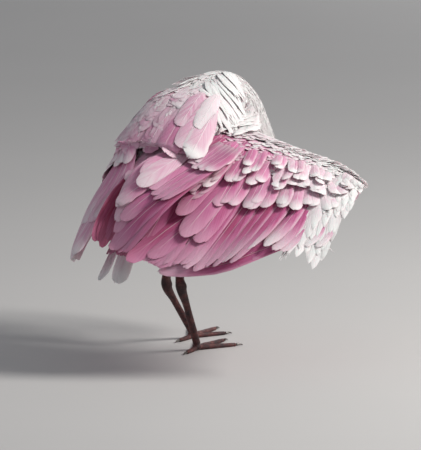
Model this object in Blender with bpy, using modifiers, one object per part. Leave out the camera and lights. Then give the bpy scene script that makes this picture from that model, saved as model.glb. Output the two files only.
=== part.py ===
# Roseate spoonbill preening, life size, as a still model standing on its own two feet.
# Metres. The bird heads along +X, its left side is +Y and +Z is up.
# The bird is hunched, its neck arched over and its head tucked under the half-open right wing.

import math

import bmesh
import bpy
from mathutils import Vector

GAP = 0.0005  # the thin cut that parts neighbouring pieces
PART_SHIFT = 0.0006  # how far a cutter stands proud of the piece it is copied from

# Stations of the body's centre line: x, y, z, half depth, half width.
# The trunk rises at about 45 degrees, the neck arches over and comes back under the right wing.
SPINE = (
    (-0.192, 0.000, 0.206, 0.009, 0.018),
    (-0.162, 0.000, 0.219, 0.030, 0.037),
    (-0.125, 0.000, 0.229, 0.052, 0.054),
    (-0.083, 0.000, 0.243, 0.073, 0.066),
    (-0.037, 0.000, 0.278, 0.081, 0.070),
    (0.012, 0.000, 0.322, 0.073, 0.066),
    (0.045, 0.000, 0.354, 0.054, 0.052),
    (0.070, -0.001, 0.369, 0.038, 0.040),
    (0.098, -0.006, 0.368, 0.032, 0.033),
    (0.121, -0.016, 0.347, 0.029, 0.029),
    (0.132, -0.030, 0.308, 0.027, 0.027),
    (0.136, -0.048, 0.268, 0.024, 0.024),
    (0.134, -0.066, 0.238, 0.021, 0.021),
    (0.118, -0.082, 0.214, 0.019, 0.019),
)
TRUNK_END = 7  # the station where the neck leaves the trunk
SPINE_SIDES = 20
TRUNK_RINGS = 13
NECK_RINGS = 12

# The head, in its own frame: distance ahead of its centre, half depth, half width and rise of the middle.
HEAD_CENTRE = (0.118, -0.082, 0.214)
HEAD_STATIONS = (
    (-0.0215, 0.0060, 0.0060, 0.000),
    (-0.0165, 0.0145, 0.0135, 0.000),
    (-0.0060, 0.0205, 0.0195, 0.001),
    (0.0100, 0.0222, 0.0205, 0.002),
    (0.0260, 0.0210, 0.0186, 0.002),
    (0.0380, 0.0176, 0.0160, 0.001),
    (0.0480, 0.0136, 0.0138, -0.001),
)
HEAD_SIDES = 16
HEAD_RINGS = 10
HEAD_CROWN = (0.10, -0.70, -0.70)  # where the crown faces, with the head rolled over
BILL_AIM = (-0.92, -0.36, 0.08)
EYE_RADIUS = 0.0056
EYE_AHEAD, EYE_SIDE, EYE_RISE = 0.0270, 0.0148, 0.0060

# The bill: distance from its base, half width, upper depth, lower depth, droop.
BILL_STATIONS = (
    (0.000, 0.0136, 0.0125, 0.0085, 0.0000),
    (0.028, 0.0108, 0.0082, 0.0056, 0.0006),
    (0.066, 0.0090, 0.0052, 0.0040, 0.0010),
    (0.098, 0.0098, 0.0040, 0.0032, 0.0010),
    (0.122, 0.0148, 0.0034, 0.0026, 0.0014),
    (0.142, 0.0226, 0.0030, 0.0022, 0.0028),
    (0.154, 0.0236, 0.0026, 0.0019, 0.0044),
    (0.163, 0.0170, 0.0020, 0.0014, 0.0062),
    (0.167, 0.0070, 0.0014, 0.0010, 0.0074),
)
BILL_RINGS = 15
BILL_ARC = 6
LOWER_SHARE = 0.955  # the lower half of the bill is a little shorter and narrower

# Each leg's centre line: x, y, z, radius, from inside the trunk to the root of the toes.
LEFT_LEG = (
    (-0.006, 0.022, 0.262, 0.026),
    (0.020, 0.034, 0.214, 0.030),
    (0.010, 0.036, 0.162, 0.021),
    (-0.011, 0.036, 0.122, 0.0078),
    (-0.025, 0.032, 0.094, 0.0078),
    (-0.002, 0.031, 0.064, 0.0050),
    (0.043, 0.027, 0.010, 0.0056),
)
RIGHT_LEG = (
    (-0.022, -0.034, 0.262, 0.036),
    (-0.024, -0.040, 0.214, 0.033),
    (-0.058, -0.032, 0.168, 0.021),
    (-0.083, -0.027, 0.131, 0.0078),
    (-0.095, -0.034, 0.108, 0.0078),
    (-0.072, -0.031, 0.073, 0.0050),
    (-0.031, -0.024, 0.010, 0.0056),
)
LEG_SIDES = 10
THIGH_END, ANKLE = 3, 4
ANKLE_SQUEEZE = 0.9

# Toes: name, turn from the bird's heading in degrees, length, radius at the root.
TOES = (
    ("middle", 2.0, 0.076, 0.0046),
    ("inner", -30.0, 0.058, 0.0043),
    ("outer", 33.0, 0.066, 0.0043),
    ("hind", 176.0, 0.034, 0.0040),
)
TOE_TIP_RADIUS = 0.0030
TOE_SIDES = 8
TOE_HUB_RADIUS = 0.0068
TOE_CENTRE = 0.80  # of the radius: how high a toe's centre line is, so its sole is cut flat
CLAW_LENGTH = 0.0105
CLAW_RADIUS = 0.0021
WEB_REACH = 0.50  # of a toe's length
WEB_THICKNESS = 0.0018

# The tail's fan of flight feathers.
TAIL_ROOT = (-0.176, 0.004, 0.218)
TAIL_AIM = (-0.540, 0.070, -0.840)
TAIL_LENGTH = 0.101
TAIL_FEATHERS = 8
TAIL_ROOT_WIDTH, TAIL_TIP_WIDTH = 0.032, 0.052
TAIL_ROOF = 0.010
TAIL_THICKNESS = 0.0060

# The half-open right wing, three lines across its span, each from the body out to the wrist.
LEADING_EDGE = (
    (0.036, -0.050, 0.328),
    (0.046, -0.112, 0.306),
    (0.050, -0.174, 0.287),
    (0.053, -0.226, 0.270),
    (0.036, -0.262, 0.250),
)
FOREARM = (
    (-0.044, -0.050, 0.313),
    (-0.048, -0.112, 0.300),
    (-0.020, -0.164, 0.286),
    (0.010, -0.212, 0.270),
    (0.018, -0.262, 0.250),
)
TRAILING_EDGE = (
    (-0.254, -0.042, 0.168),
    (-0.237, -0.088, 0.163),
    (-0.212, -0.140, 0.161),
    (-0.184, -0.200, 0.178),
    (-0.114, -0.274, 0.182),
)
RIGHT_ARM_SHARE = 0.50  # of the wing from front to back, up to the tips of the large coverts
RIGHT_FEATHERS = 13
WING_CAMBER = 0.012
FOREARM_AT = 0.30  # where the forearm lies, from front to back
WING_CHORD = 0.25

# The folded hand of the right wing lies under the secondaries. Its outer edge from the wrist to the
# tip, as shares of the wing: from the body to the wrist, and from front to back; and its width there.
HAND_PATH = (
    (0.98, 0.46, 0.012),
    (0.88, 0.78, 0.024),
    (0.68, 0.94, 0.032),
    (0.42, 0.97, 0.034),
    (0.17, 1.01, 0.026),
)
HAND_DROP = (-0.10, -0.25, -0.96)
HAND_ROOT_DROP, HAND_TIP_DROP = 0.0145, 0.0085
HAND_FEATHERS = 6

# The folded left wing wraps the trunk: x, y, z, half depth, half width, lowest and highest angle.
LEFT_WING = (
    (0.060, 0.000, 0.350, 0.056, 0.058, -36.0, 34.0),
    (0.020, 0.000, 0.326, 0.080, 0.078, -32.0, 42.0),
    (-0.037, 0.000, 0.278, 0.093, 0.086, -22.0, 49.0),
    (-0.083, 0.000, 0.243, 0.088, 0.084, -20.0, 70.0),
    (-0.130, 0.008, 0.226, 0.062, 0.078, -20.0, 80.0),
    (-0.185, 0.023, 0.204, 0.042, 0.053, -24.0, 84.0),
    (-0.232, 0.036, 0.178, 0.026, 0.029, -30.0, 84.0),
    (-0.262, 0.044, 0.163, 0.008, 0.010, -60.0, 80.0),
)
LEFT_WING_UP = (-0.50, 0.0, 0.86)
LEFT_ARM_END, LEFT_SECONDARY_END = 3.1, 5.0
LEFT_FEATHERS = 9
LEFT_PRIMARIES = 5

# Scapulars: long shoulder feathers lying on the back, as angles round the trunk.
SCAPULAR_LIFT = 0.0045
SCAPULAR_THICKNESS = 0.0060
SCAPULAR_FEATHERS = 6


# The right tertials: where the feathers root beside the back, where their tips lie, and how far they bow out.
TERTIAL_ROOTS = (
    (-0.064, -0.040, 0.322),
    (-0.082, -0.080, 0.313),
    (-0.092, -0.112, 0.307),
)
TERTIAL_TIPS = (
    (-0.216, 0.000, 0.243),
    (-0.244, -0.008, 0.190),
    (-0.256, -0.036, 0.184),
)
TERTIAL_LIFT = (-0.012, -0.006, 0.020)
TERTIAL_FEATHERS = 6

# The left tertials lie on the rump, between the folded wing and the right tertials.
LEFT_TERTIAL_ROOTS = (
    (-0.118, -0.016, 0.298),
    (-0.118, -0.004, 0.302),
    (-0.118, 0.008, 0.302),
)
LEFT_TERTIAL_TIPS = (
    (-0.224, -0.006, 0.198),
    (-0.240, 0.010, 0.188),
    (-0.247, 0.024, 0.196),
)
LEFT_TERTIAL_LIFT = (-0.004, 0.000, 0.010)
LEFT_TERTIAL_FEATHERS = 4


def spline(stations, t):
    """Values at t, counted in stations, on a smooth curve through all of them."""
    last = len(stations) - 1
    i = min(max(int(t), 0), last - 1)
    f = t - i
    a, b = stations[i], stations[i + 1]
    before = stations[i - 1] if i else [2 * p - q for p, q in zip(a, b)]
    after = stations[i + 2] if i + 2 <= last else [2 * q - p for p, q in zip(a, b)]
    return [
        0.5 * (2 * p1 + (p2 - p0) * f + (2 * p0 - 5 * p1 + 4 * p2 - p3) * f * f + (3 * p1 - p0 - 3 * p2 + p3) * f**3)
        for p0, p1, p2, p3 in zip(before, a, b, after)
    ]


def frame_at(stations, t, side=Vector((0, 1, 0))):
    """Centre, direction, side and up of the section at t."""
    step = 0.02
    last = len(stations) - 1
    ahead = Vector(spline(stations, min(t + step, last))[:3])
    behind = Vector(spline(stations, max(t - step, 0))[:3])
    along = (ahead - behind).normalized()
    across = (side - along * side.dot(along)).normalized()
    return Vector(spline(stations, t)[:3]), along, across, along.cross(across)


def mesh_object(name, bm, collection, material, smooth=True):
    """The bmesh as a named object with outward faces."""
    bmesh.ops.recalc_face_normals(bm, faces=bm.faces)
    mesh = bpy.data.meshes.new(name)
    bm.to_mesh(mesh)
    bm.free()
    if smooth:
        mesh.shade_smooth()
    mesh.materials.append(material)
    thing = bpy.data.objects.new(name, mesh)
    collection.objects.link(thing)
    return thing


def skin_rings(bm, rings):
    """Joins rings of points into one closed skin with flat ends."""
    loops = []
    for ring in rings:
        verts = [bm.verts.new(point) for point in ring]
        edges = [bm.edges.new((verts[i], verts[i - 1])) for i in range(len(verts))]
        loops.append((verts, edges))
    for (_, first), (_, second) in zip(loops, loops[1:]):
        bmesh.ops.bridge_loops(bm, edges=first + second)
    bm.faces.new(loops[0][0])
    bm.faces.new(reversed(loops[-1][0]))


def ring_points(centre, side, up, half_width, half_depth, count):
    return [
        centre + side * (half_width * math.cos(a)) + up * (half_depth * math.sin(a))
        for a in (2 * math.pi * i / count for i in range(count))
    ]


def spine_piece(name, start, end, rings, collection, material, swell=0.0):
    """A length of the body between two stations of the spine."""
    bm = bmesh.new()
    loops = []
    for i in range(rings + 1):
        t = start + (end - start) * i / rings
        centre, along, side, up = frame_at(SPINE, t)
        depth, width = spline(SPINE, t)[3:]
        if i in (0, rings):
            centre += along * (swell if i else -swell)
        loops.append(ring_points(centre, side, up, width + swell, depth + swell, SPINE_SIDES))
    skin_rings(bm, loops)
    return mesh_object(name, bm, collection, material)


def tube_piece(name, stations, start, end, rings, sides, collection, material, side=Vector((0, 1, 0)), swell=0.0):
    """A length of a round limb between two stations; a station's last number is its radius."""
    bm = bmesh.new()
    loops = []
    for i in range(rings + 1):
        t = start + (end - start) * i / rings
        centre, along, across, up = frame_at(stations, t, side)
        radius = spline(stations, t)[3] + swell
        if i == rings:
            centre += along * swell
        loops.append(ring_points(centre, across, up, radius, radius, sides))
    skin_rings(bm, loops)
    return mesh_object(name, bm, collection, material)


def cut(piece, cutter, operation="DIFFERENCE"):
    modifier = piece.modifiers.new("cut", "BOOLEAN")
    modifier.operation = operation
    modifier.object = cutter
    modifier.solver = "EXACT"


def as_cutter(thing):
    thing.hide_render = True
    thing.display_type = "WIRE"
    return thing


def sheet_piece(name, columns, rows, place, thickness, collection, material):
    """A curved sheet of feathers. place(u, v) gives its middle and thickness(u, v) how thick it is."""
    bm = bmesh.new()
    bmesh.ops.create_grid(bm, x_segments=columns, y_segments=rows, size=0.5)
    places = [(v.co.x + 0.5, v.co.y + 0.5) for v in bm.verts]
    for vert, (u, v) in zip(bm.verts, places):
        vert.co = place(u, v)
    sheet = mesh_object(name, bm, collection, material)
    group = sheet.vertex_groups.new(name="thickness")
    thick = [thickness(u, v) for u, v in places]
    most = max(thick)
    for i, value in enumerate(thick):
        group.add([i], value / most, "REPLACE")
    solid = sheet.modifiers.new("thickness", "SOLIDIFY")
    solid.thickness = most
    solid.offset = 0.0
    solid.vertex_group = group.name
    return sheet


def scallop(u, feathers, depth):
    """How much of its length a feather keeps at u, so that each tip is round."""
    f = (u * feathers) % 1.0
    return 1.0 - depth * abs(2 * f - 1) ** 2.4


def feather_columns(feathers, per_feather):
    return feathers * per_feather


def line_point(line, u):
    return Vector(spline(line, u * (len(line) - 1)))


def right_wing_point(u, v):
    """A point of the right wing: u from the body to the wrist, v from front to back."""
    front, arm, back = (line_point(line, u) for line in (LEADING_EDGE, FOREARM, TRAILING_EDGE))
    if v < FOREARM_AT:
        f = v / FOREARM_AT
        point = front.lerp(arm, f)
        point.z += 0.007 * math.sin(math.pi * f)
        return point
    f = (v - FOREARM_AT) / (1 - FOREARM_AT)
    point = arm.lerp(back, f)
    point.z += WING_CAMBER * math.sin(math.pi * f)
    return point


def right_wing_thickness(u, v):
    """Thick along the arm, thinner to the wrist, and thin at the feather tips."""
    arm = 0.024 - 0.010 * u
    if v < FOREARM_AT:
        return arm * (0.30 + 0.70 * math.sqrt(v / FOREARM_AT))
    f = (v - FOREARM_AT) / (1 - FOREARM_AT)
    return 0.0016 + (arm - 0.0016) * (1 - f) ** 1.6


def make_right_wing(collection, materials):
    split = RIGHT_ARM_SHARE
    half_cut = GAP / WING_CHORD

    arm = sheet_piece(
        "wing_right_arm",
        18,
        6,
        lambda u, v: right_wing_point(u, v * (split - half_cut)),
        lambda u, v: right_wing_thickness(u, v * split),
        collection,
        materials["coverts"],
    )
    columns = feather_columns(RIGHT_FEATHERS, 3)

    def secondary_place(u, v):
        keep = scallop(u, RIGHT_FEATHERS, 0.11)
        start = split + half_cut
        return right_wing_point(u, start + (1 - start) * v * keep)

    secondaries = sheet_piece(
        "wing_right_secondaries",
        columns,
        3,
        secondary_place,
        lambda u, v: right_wing_thickness(u, split + (1 - split) * v),
        collection,
        materials["pink"],
    )
    return arm, secondaries


def make_right_hand(collection, materials):
    """The folded hand: the bundle of primaries from the wrist to the wing's tip."""
    last = len(HAND_PATH) - 1

    def place(u, v):
        keep = scallop(u, HAND_FEATHERS, 0.05) - 0.08 * (1 - u)
        across, back, width = spline(HAND_PATH, v * keep * last)
        point = right_wing_point(across, back - width * u / WING_CHORD)
        return point + Vector(HAND_DROP) * (HAND_ROOT_DROP + (HAND_TIP_DROP - HAND_ROOT_DROP) * v)

    sheet_piece(
        "wing_right_primaries",
        feather_columns(HAND_FEATHERS, 3),
        6,
        place,
        lambda u, v: 0.010 - 0.0078 * v ** 0.6,
        collection,
        materials["pink"],
    )


def left_wing_point(t, share):
    """A point of the folded left wing: t along its stations, share from its lower to its upper edge."""
    x, y, z, depth, width, low, high = spline(LEFT_WING, t)
    angle = math.radians(low + (high - low) * share)
    up = Vector(LEFT_WING_UP).normalized() * (depth * math.sin(angle))
    return Vector((x, y + width * math.cos(angle), z)) + up


def make_left_wing(collection, cutters, materials):
    last = len(LEFT_WING) - 1
    half_cut = 0.012

    def part(name, start, end, columns, rows, feathers, depth, material, group, swell=0.0):
        def place(u, v):
            keep = scallop(u, feathers, depth) if feathers else 1.0
            return left_wing_point(start + (end - start) * v * keep, u)

        def thickness(u, v):
            share = (start + (end - start) * v) / last
            middle = 0.35 + 0.65 * math.sin(math.pi * u)
            return 0.0016 + 0.0200 * (1 - share) ** 1.3 * middle + swell

        return sheet_piece(name, columns, rows, place, thickness, group, materials[material])

    arm = part("wing_left_arm", 0.0, LEFT_ARM_END - half_cut, 12, 7, 0, 0.0, "coverts", collection)
    secondaries = part(
        "wing_left_secondaries", LEFT_ARM_END + half_cut, LEFT_SECONDARY_END, 12, 3, 0, 0.0, "pink", collection
    )
    arm_end = part(
        "wing_left_cutter", LEFT_ARM_END - 1.0, LEFT_ARM_END, 12, 3, 0, 0.0, "coverts", cutters, 2 * PART_SHIFT
    )
    cut(secondaries, as_cutter(arm_end))
    part(
        "wing_left_primaries",
        LEFT_SECONDARY_END + 2 * half_cut,
        last,
        feather_columns(LEFT_PRIMARIES, 4),
        3,
        LEFT_PRIMARIES,
        0.10,
        "pink",
        collection,
    )
    return arm, secondaries


def make_scapulars(collection, materials):
    """Shoulder feathers on the trunk: the left ones beside the folded wing, the right ones over the flank."""

    def build(name, inner, outer, back, lift, flare):
        def place(u, v):
            keep = scallop(u, SCAPULAR_FEATHERS, 0.10)
            t = 5.9 - (5.9 - back) * v * keep
            centre, along, side, up = frame_at(SPINE, t)
            depth, width = spline(SPINE, t)[3:]
            rise = SCAPULAR_LIFT + lift * v + flare * u * (0.40 + 0.60 * v * v)
            angle = math.radians(inner + (outer - inner) * u)
            return centre + side * ((width + rise) * math.cos(angle)) + up * ((depth + rise) * math.sin(angle))

        return sheet_piece(
            name,
            feather_columns(SCAPULAR_FEATHERS, 3),
            4,
            place,
            lambda u, v: SCAPULAR_THICKNESS * (1 - 0.7 * v),
            collection,
            materials["white"],
        )

    return (
        build("scapulars_left", 86.0, 44.0, 2.6, 0.012, 0.023),
        build("scapulars_right", 98.0, 136.0, 3.1, 0.014, 0.007),
    )


def make_tertials(collection, materials):
    """The innermost flight feathers of both wings, which fan back over the rump."""

    def build(name, roots, tips, lift, feathers):
        def place(u, v):
            root, tip = line_point(roots, u), line_point(tips, u)
            keep = scallop(u, feathers, 0.12)
            bulge = Vector(lift) * math.sin(math.pi * min(v * keep, 1.0) ** 1.4)
            return root.lerp(tip, v * keep) + bulge

        return sheet_piece(
            name,
            feather_columns(feathers, 3),
            4,
            place,
            lambda u, v: 0.0060 * (1 - 0.72 * v),
            collection,
            materials["pink"],
        )

    return (
        build("tertials_right", TERTIAL_ROOTS, TERTIAL_TIPS, TERTIAL_LIFT, TERTIAL_FEATHERS),
        build("tertials_left", LEFT_TERTIAL_ROOTS, LEFT_TERTIAL_TIPS, LEFT_TERTIAL_LIFT, LEFT_TERTIAL_FEATHERS),
    )


def make_tail(collection, materials):
    root, aim = Vector(TAIL_ROOT), Vector(TAIL_AIM).normalized()
    side = (Vector((0, 1, 0)) - aim * aim.y).normalized()
    up = side.cross(aim)
    if up.z < 0:
        up = -up

    def place(u, v):
        keep = scallop(u, TAIL_FEATHERS, 0.06) - 0.05 * abs(2 * u - 1) ** 2
        along = v * keep
        width = TAIL_ROOT_WIDTH + (TAIL_TIP_WIDTH - TAIL_ROOT_WIDTH) * along
        across = (u - 0.5) * width
        droop = TAIL_ROOF * (2 * u - 1) ** 2
        return root + aim * (TAIL_LENGTH * along) + side * across - up * droop

    return sheet_piece(
        "tail",
        feather_columns(TAIL_FEATHERS, 3),
        3,
        place,
        lambda u, v: TAIL_THICKNESS * (1 - 0.72 * v),
        collection,
        materials["pink"],
    )


def head_frame():
    """Root of the head and its forward, left and crown directions."""
    ahead = Vector(BILL_AIM).normalized()
    crown = Vector(HEAD_CROWN)
    crown = (crown - ahead * crown.dot(ahead)).normalized()
    return Vector(HEAD_CENTRE), ahead, crown.cross(ahead), crown


def head_shell(name, swell, collection, material):
    bm = bmesh.new()
    root, forward, left, crown = head_frame()
    last = len(HEAD_STATIONS) - 1
    loops = []
    for i in range(HEAD_RINGS + 1):
        ahead, depth, width, rise = spline(HEAD_STATIONS, last * i / HEAD_RINGS)
        centre = root + forward * (ahead + swell * (2 * i / HEAD_RINGS - 1)) + crown * rise
        loops.append(ring_points(centre, left, crown, width + swell, depth + swell, HEAD_SIDES))
    skin_rings(bm, loops)
    return mesh_object(name, bm, collection, material)


def make_head(neck, collection, materials):
    head = head_shell("head", 0.0, collection, materials["face"])
    root, forward, left, crown = head_frame()
    cut(neck, as_cutter(head_shell("head_cutter", PART_SHIFT, bpy.data.collections["cutters"], materials["face"])))
    sockets = bpy.data.collections["cutters"]
    for name, turn in (("left", 1), ("right", -1)):
        place = root + forward * EYE_AHEAD + left * (EYE_SIDE * turn) + crown * EYE_RISE
        add_ball(f"eye_{name}", place, EYE_RADIUS, collection, materials["eye"])
        socket = add_ball(f"socket_{name}", place, EYE_RADIUS + 0.0005, sockets, materials["eye"])
        cut(head, as_cutter(socket))


def add_ball(name, place, radius, collection, material):
    bm = bmesh.new()
    bmesh.ops.create_uvsphere(bm, u_segments=12, v_segments=8, radius=radius)
    bmesh.ops.translate(bm, verts=bm.verts, vec=place)
    return mesh_object(name, bm, collection, material)


def make_bill(collection, materials):
    """Upper and lower halves, meeting in a flat gape line: half-round sections along the bill."""
    root, forward, left, crown = head_frame()
    base = root + forward * (HEAD_STATIONS[-1][0] + GAP) + crown * HEAD_STATIONS[-1][3]
    last = len(BILL_STATIONS) - 1
    for name, turn, share in (("bill_upper", 1, 1.0), ("bill_lower", -1, LOWER_SHARE)):
        bm = bmesh.new()
        loops = []
        for i in range(BILL_RINGS + 1):
            ahead, width, upper, lower, droop = spline(BILL_STATIONS, last * i / BILL_RINGS)
            depth = upper if turn > 0 else lower
            centre = base + forward * (ahead * share) + crown * (turn * GAP / 2 - droop)
            arc = [
                centre + left * (width * share * math.cos(a)) + crown * (turn * depth * math.sin(a))
                for a in (math.pi * j / BILL_ARC for j in range(BILL_ARC + 1))
            ]
            loops.append(arc)
        skin_rings(bm, loops)
        mesh_object(name, bm, collection, materials["bill"])


def toe_path(root, turn, length, radius):
    """From the hub along the floor to the claw, with a slight rise over the first joint."""
    a = math.radians(turn)
    way = Vector((math.cos(a), math.sin(a), 0))
    points = []
    for share in (0.0, 0.35, 0.7, 1.0):
        r = radius + (TOE_TIP_RADIUS - radius) * share
        place = Vector((root.x, root.y, 0)) + way * (length * share)
        lift = 0.0006 * (1 - share)
        points.append((place.x, place.y, r * TOE_CENTRE + lift, r))
    return points, way


def make_foot(name, leg, side, collection, cutters, materials):
    root = Vector(leg[-1][:3])
    toe_things = []
    for toe, turn, length, radius in TOES:
        turned = turn if side > 0 else -turn
        path, way = toe_path(root, turned, length, radius)
        across = Vector((-way.y, way.x, 0))
        last = len(path) - 1
        thing = tube_piece(f"{name}_{toe}", path, 0, last, 4, TOE_SIDES, cutters, materials["leg"], across)
        toe_things.append((thing, path, way))
    foot = add_ball(f"foot_{name}", Vector((root.x, root.y, root.z - 0.0042)), TOE_HUB_RADIUS, collection, materials["leg"])
    for thing, _, _ in toe_things:
        cut(foot, as_cutter(thing), "UNION")
    web = as_cutter(make_web(name, root, side, cutters, materials["leg"]))
    cut(foot, web, "UNION")
    floor_slab = add_block(f"floor_{name}", Vector((root.x + 0.02, root.y, -0.02)), (0.3, 0.3, 0.04), cutters, materials["leg"])
    cut(foot, as_cutter(floor_slab))
    last = len(leg) - 1
    shaft = tube_piece(f"seat_{name}", leg, last - 0.6, last, 4, LEG_SIDES, cutters, materials["leg"], swell=PART_SHIFT)
    cut(foot, as_cutter(shaft))
    for (toe, *_), (_, path, way) in zip(TOES, toe_things):
        make_claw(f"claw_{name}_{toe}", path[-1], way, collection, materials["claw"])


def make_web(name, root, side, cutters, material):
    """Small webs of skin between the roots of the three front toes."""
    bm = bmesh.new()
    ordered = sorted((t for t in TOES if t[0] != "hind"), key=lambda toe: toe[1] * side)
    corners = [Vector((root.x - 0.002, root.y, 0))]
    for i, (_, turn, length, _) in enumerate(ordered):
        a = math.radians(turn * side)
        reach = length * WEB_REACH
        corners.append(Vector((root.x, root.y, 0)) + Vector((math.cos(a), math.sin(a), 0)) * reach)
        if i < 2:
            b = math.radians((turn + ordered[i + 1][1]) / 2 * side)
            corners.append(Vector((root.x, root.y, 0)) + Vector((math.cos(b), math.sin(b), 0)) * reach * 0.72)
    face = bm.faces.new([bm.verts.new(c + Vector((0, 0, 0.0006))) for c in corners])
    grown = bmesh.ops.extrude_face_region(bm, geom=[face])
    verts = [v for v in grown["geom"] if isinstance(v, bmesh.types.BMVert)]
    bmesh.ops.translate(bm, verts=verts, vec=(0, 0, WEB_THICKNESS))
    return mesh_object(f"web_{name}", bm, cutters, material, smooth=False)


def add_block(name, centre, size, collection, material):
    bm = bmesh.new()
    bmesh.ops.create_cube(bm, size=1.0)
    bmesh.ops.scale(bm, verts=bm.verts, vec=size)
    bmesh.ops.translate(bm, verts=bm.verts, vec=centre)
    return mesh_object(name, bm, collection, material, smooth=False)


def make_claw(name, toe_end, way, collection, material):
    start = Vector(toe_end[:3]) + way * GAP
    path = [
        (*(start + Vector((0, 0, 0.0004))), CLAW_RADIUS),
        (*(start + way * (CLAW_LENGTH * 0.55) + Vector((0, 0, 0.0006))), CLAW_RADIUS * 0.72),
        (*(start + way * CLAW_LENGTH - Vector((0, 0, 0.0012))), CLAW_RADIUS * 0.28),
    ]
    across = Vector((-way.y, way.x, 0))
    tube_piece(name, path, 0, 2, 3, 6, collection, material, across)


def make_legs(trunk_cutter, collection, cutters, materials):
    for name, leg, side in (("left", LEFT_LEG, 1), ("right", RIGHT_LEG, -1)):
        last = len(leg) - 1
        gap = 0.010
        thigh = tube_piece(f"thigh_{name}", leg, 0, THIGH_END - gap, 9, 16, collection, materials["white"])
        cut(thigh, trunk_cutter)
        tube_piece(f"shank_{name}", leg, THIGH_END + gap, ANKLE - gap, 4, LEG_SIDES, collection, materials["leg"])
        tube_piece(f"tarsus_{name}", leg, ANKLE + gap, last, 8, LEG_SIDES, collection, materials["leg"])
        make_foot(name, leg, side, collection, cutters, materials)


def new_material(name, colour, roughness, metallic=0.0):
    material = bpy.data.materials.new(name)
    material.use_nodes = True
    shader = material.node_tree.nodes["Principled BSDF"]
    shader.inputs["Base Color"].default_value = (*colour, 1.0)
    shader.inputs["Roughness"].default_value = roughness
    shader.inputs["Metallic"].default_value = metallic
    return material


def make_materials():
    return {
        "white": new_material("white_feathers", (0.86, 0.82, 0.82), 0.75),
        "coverts": new_material("rose_coverts", (0.70, 0.30, 0.40), 0.70),
        "pink": new_material("pink_feathers", (0.80, 0.48, 0.58), 0.68),
        "face": new_material("bare_face", (0.60, 0.62, 0.46), 0.55),
        "bill": new_material("bill_horn", (0.42, 0.42, 0.34), 0.45),
        "eye": new_material("red_eye", (0.45, 0.04, 0.02), 0.10),
        "leg": new_material("leg_scales", (0.16, 0.05, 0.05), 0.50),
        "claw": new_material("claw_horn", (0.05, 0.04, 0.04), 0.40),
    }


def set_on_origin(collection):
    """Moves the bird so that its box stands on the floor with its bottom centre at the origin."""
    bpy.context.view_layer.update()
    graph = bpy.context.evaluated_depsgraph_get()
    points = []
    for thing in collection.objects:
        if thing.type == "MESH":
            mesh = thing.evaluated_get(graph).to_mesh()
            points += [thing.matrix_world @ v.co for v in mesh.vertices]
    low = Vector(min(p[i] for p in points) for i in range(3))
    high = Vector(max(p[i] for p in points) for i in range(3))
    return Vector(((low.x + high.x) / 2, (low.y + high.y) / 2, low.z))


def main():
    for thing in list(bpy.data.objects):
        bpy.data.objects.remove(thing, do_unlink=True)
    scene = bpy.context.scene
    bird = bpy.data.collections.new("roseate_spoonbill")
    cutters = bpy.data.collections.new("cutters")
    scene.collection.children.link(bird)
    scene.collection.children.link(cutters)
    materials = make_materials()

    last = len(SPINE) - 1
    cut_share = 0.010
    spine_piece("trunk", 0.0, TRUNK_END - cut_share, TRUNK_RINGS, bird, materials["white"])
    neck = spine_piece("neck", TRUNK_END + cut_share, last, NECK_RINGS, bird, materials["white"])
    trunk_cutter = as_cutter(
        spine_piece("trunk_cutter", 0.0, TRUNK_END - cut_share, TRUNK_RINGS, cutters, materials["white"], PART_SHIFT)
    )
    make_head(neck, bird, materials)
    make_bill(bird, materials)
    feathered = [make_tail(bird, materials)]
    feathered += make_tertials(bird, materials)
    feathered += make_scapulars(bird, materials)
    feathered += make_left_wing(bird, cutters, materials)
    feathered += make_right_wing(bird, materials)
    for piece in feathered:
        cut(piece, trunk_cutter)
    make_right_hand(bird, materials)
    make_legs(trunk_cutter, bird, cutters, materials)

    shift = set_on_origin(bird)
    root = bpy.data.objects.new("stance", None)
    bird.objects.link(root)
    for thing in [*bird.objects, *cutters.objects]:
        if thing is not root:
            thing.parent = root
    root.location = -shift
    print("stance shift", tuple(round(c, 5) for c in shift))


main()
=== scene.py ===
# A roseate spoonbill preening, life size: skin, bill, eyes and every tract of feathers
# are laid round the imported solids. The bird heads along +X and its left side is +Y.
import math

import bmesh
import bpy
import numpy as np
from mathutils.bvhtree import BVHTree
from mathutils import Matrix, Vector


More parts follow.
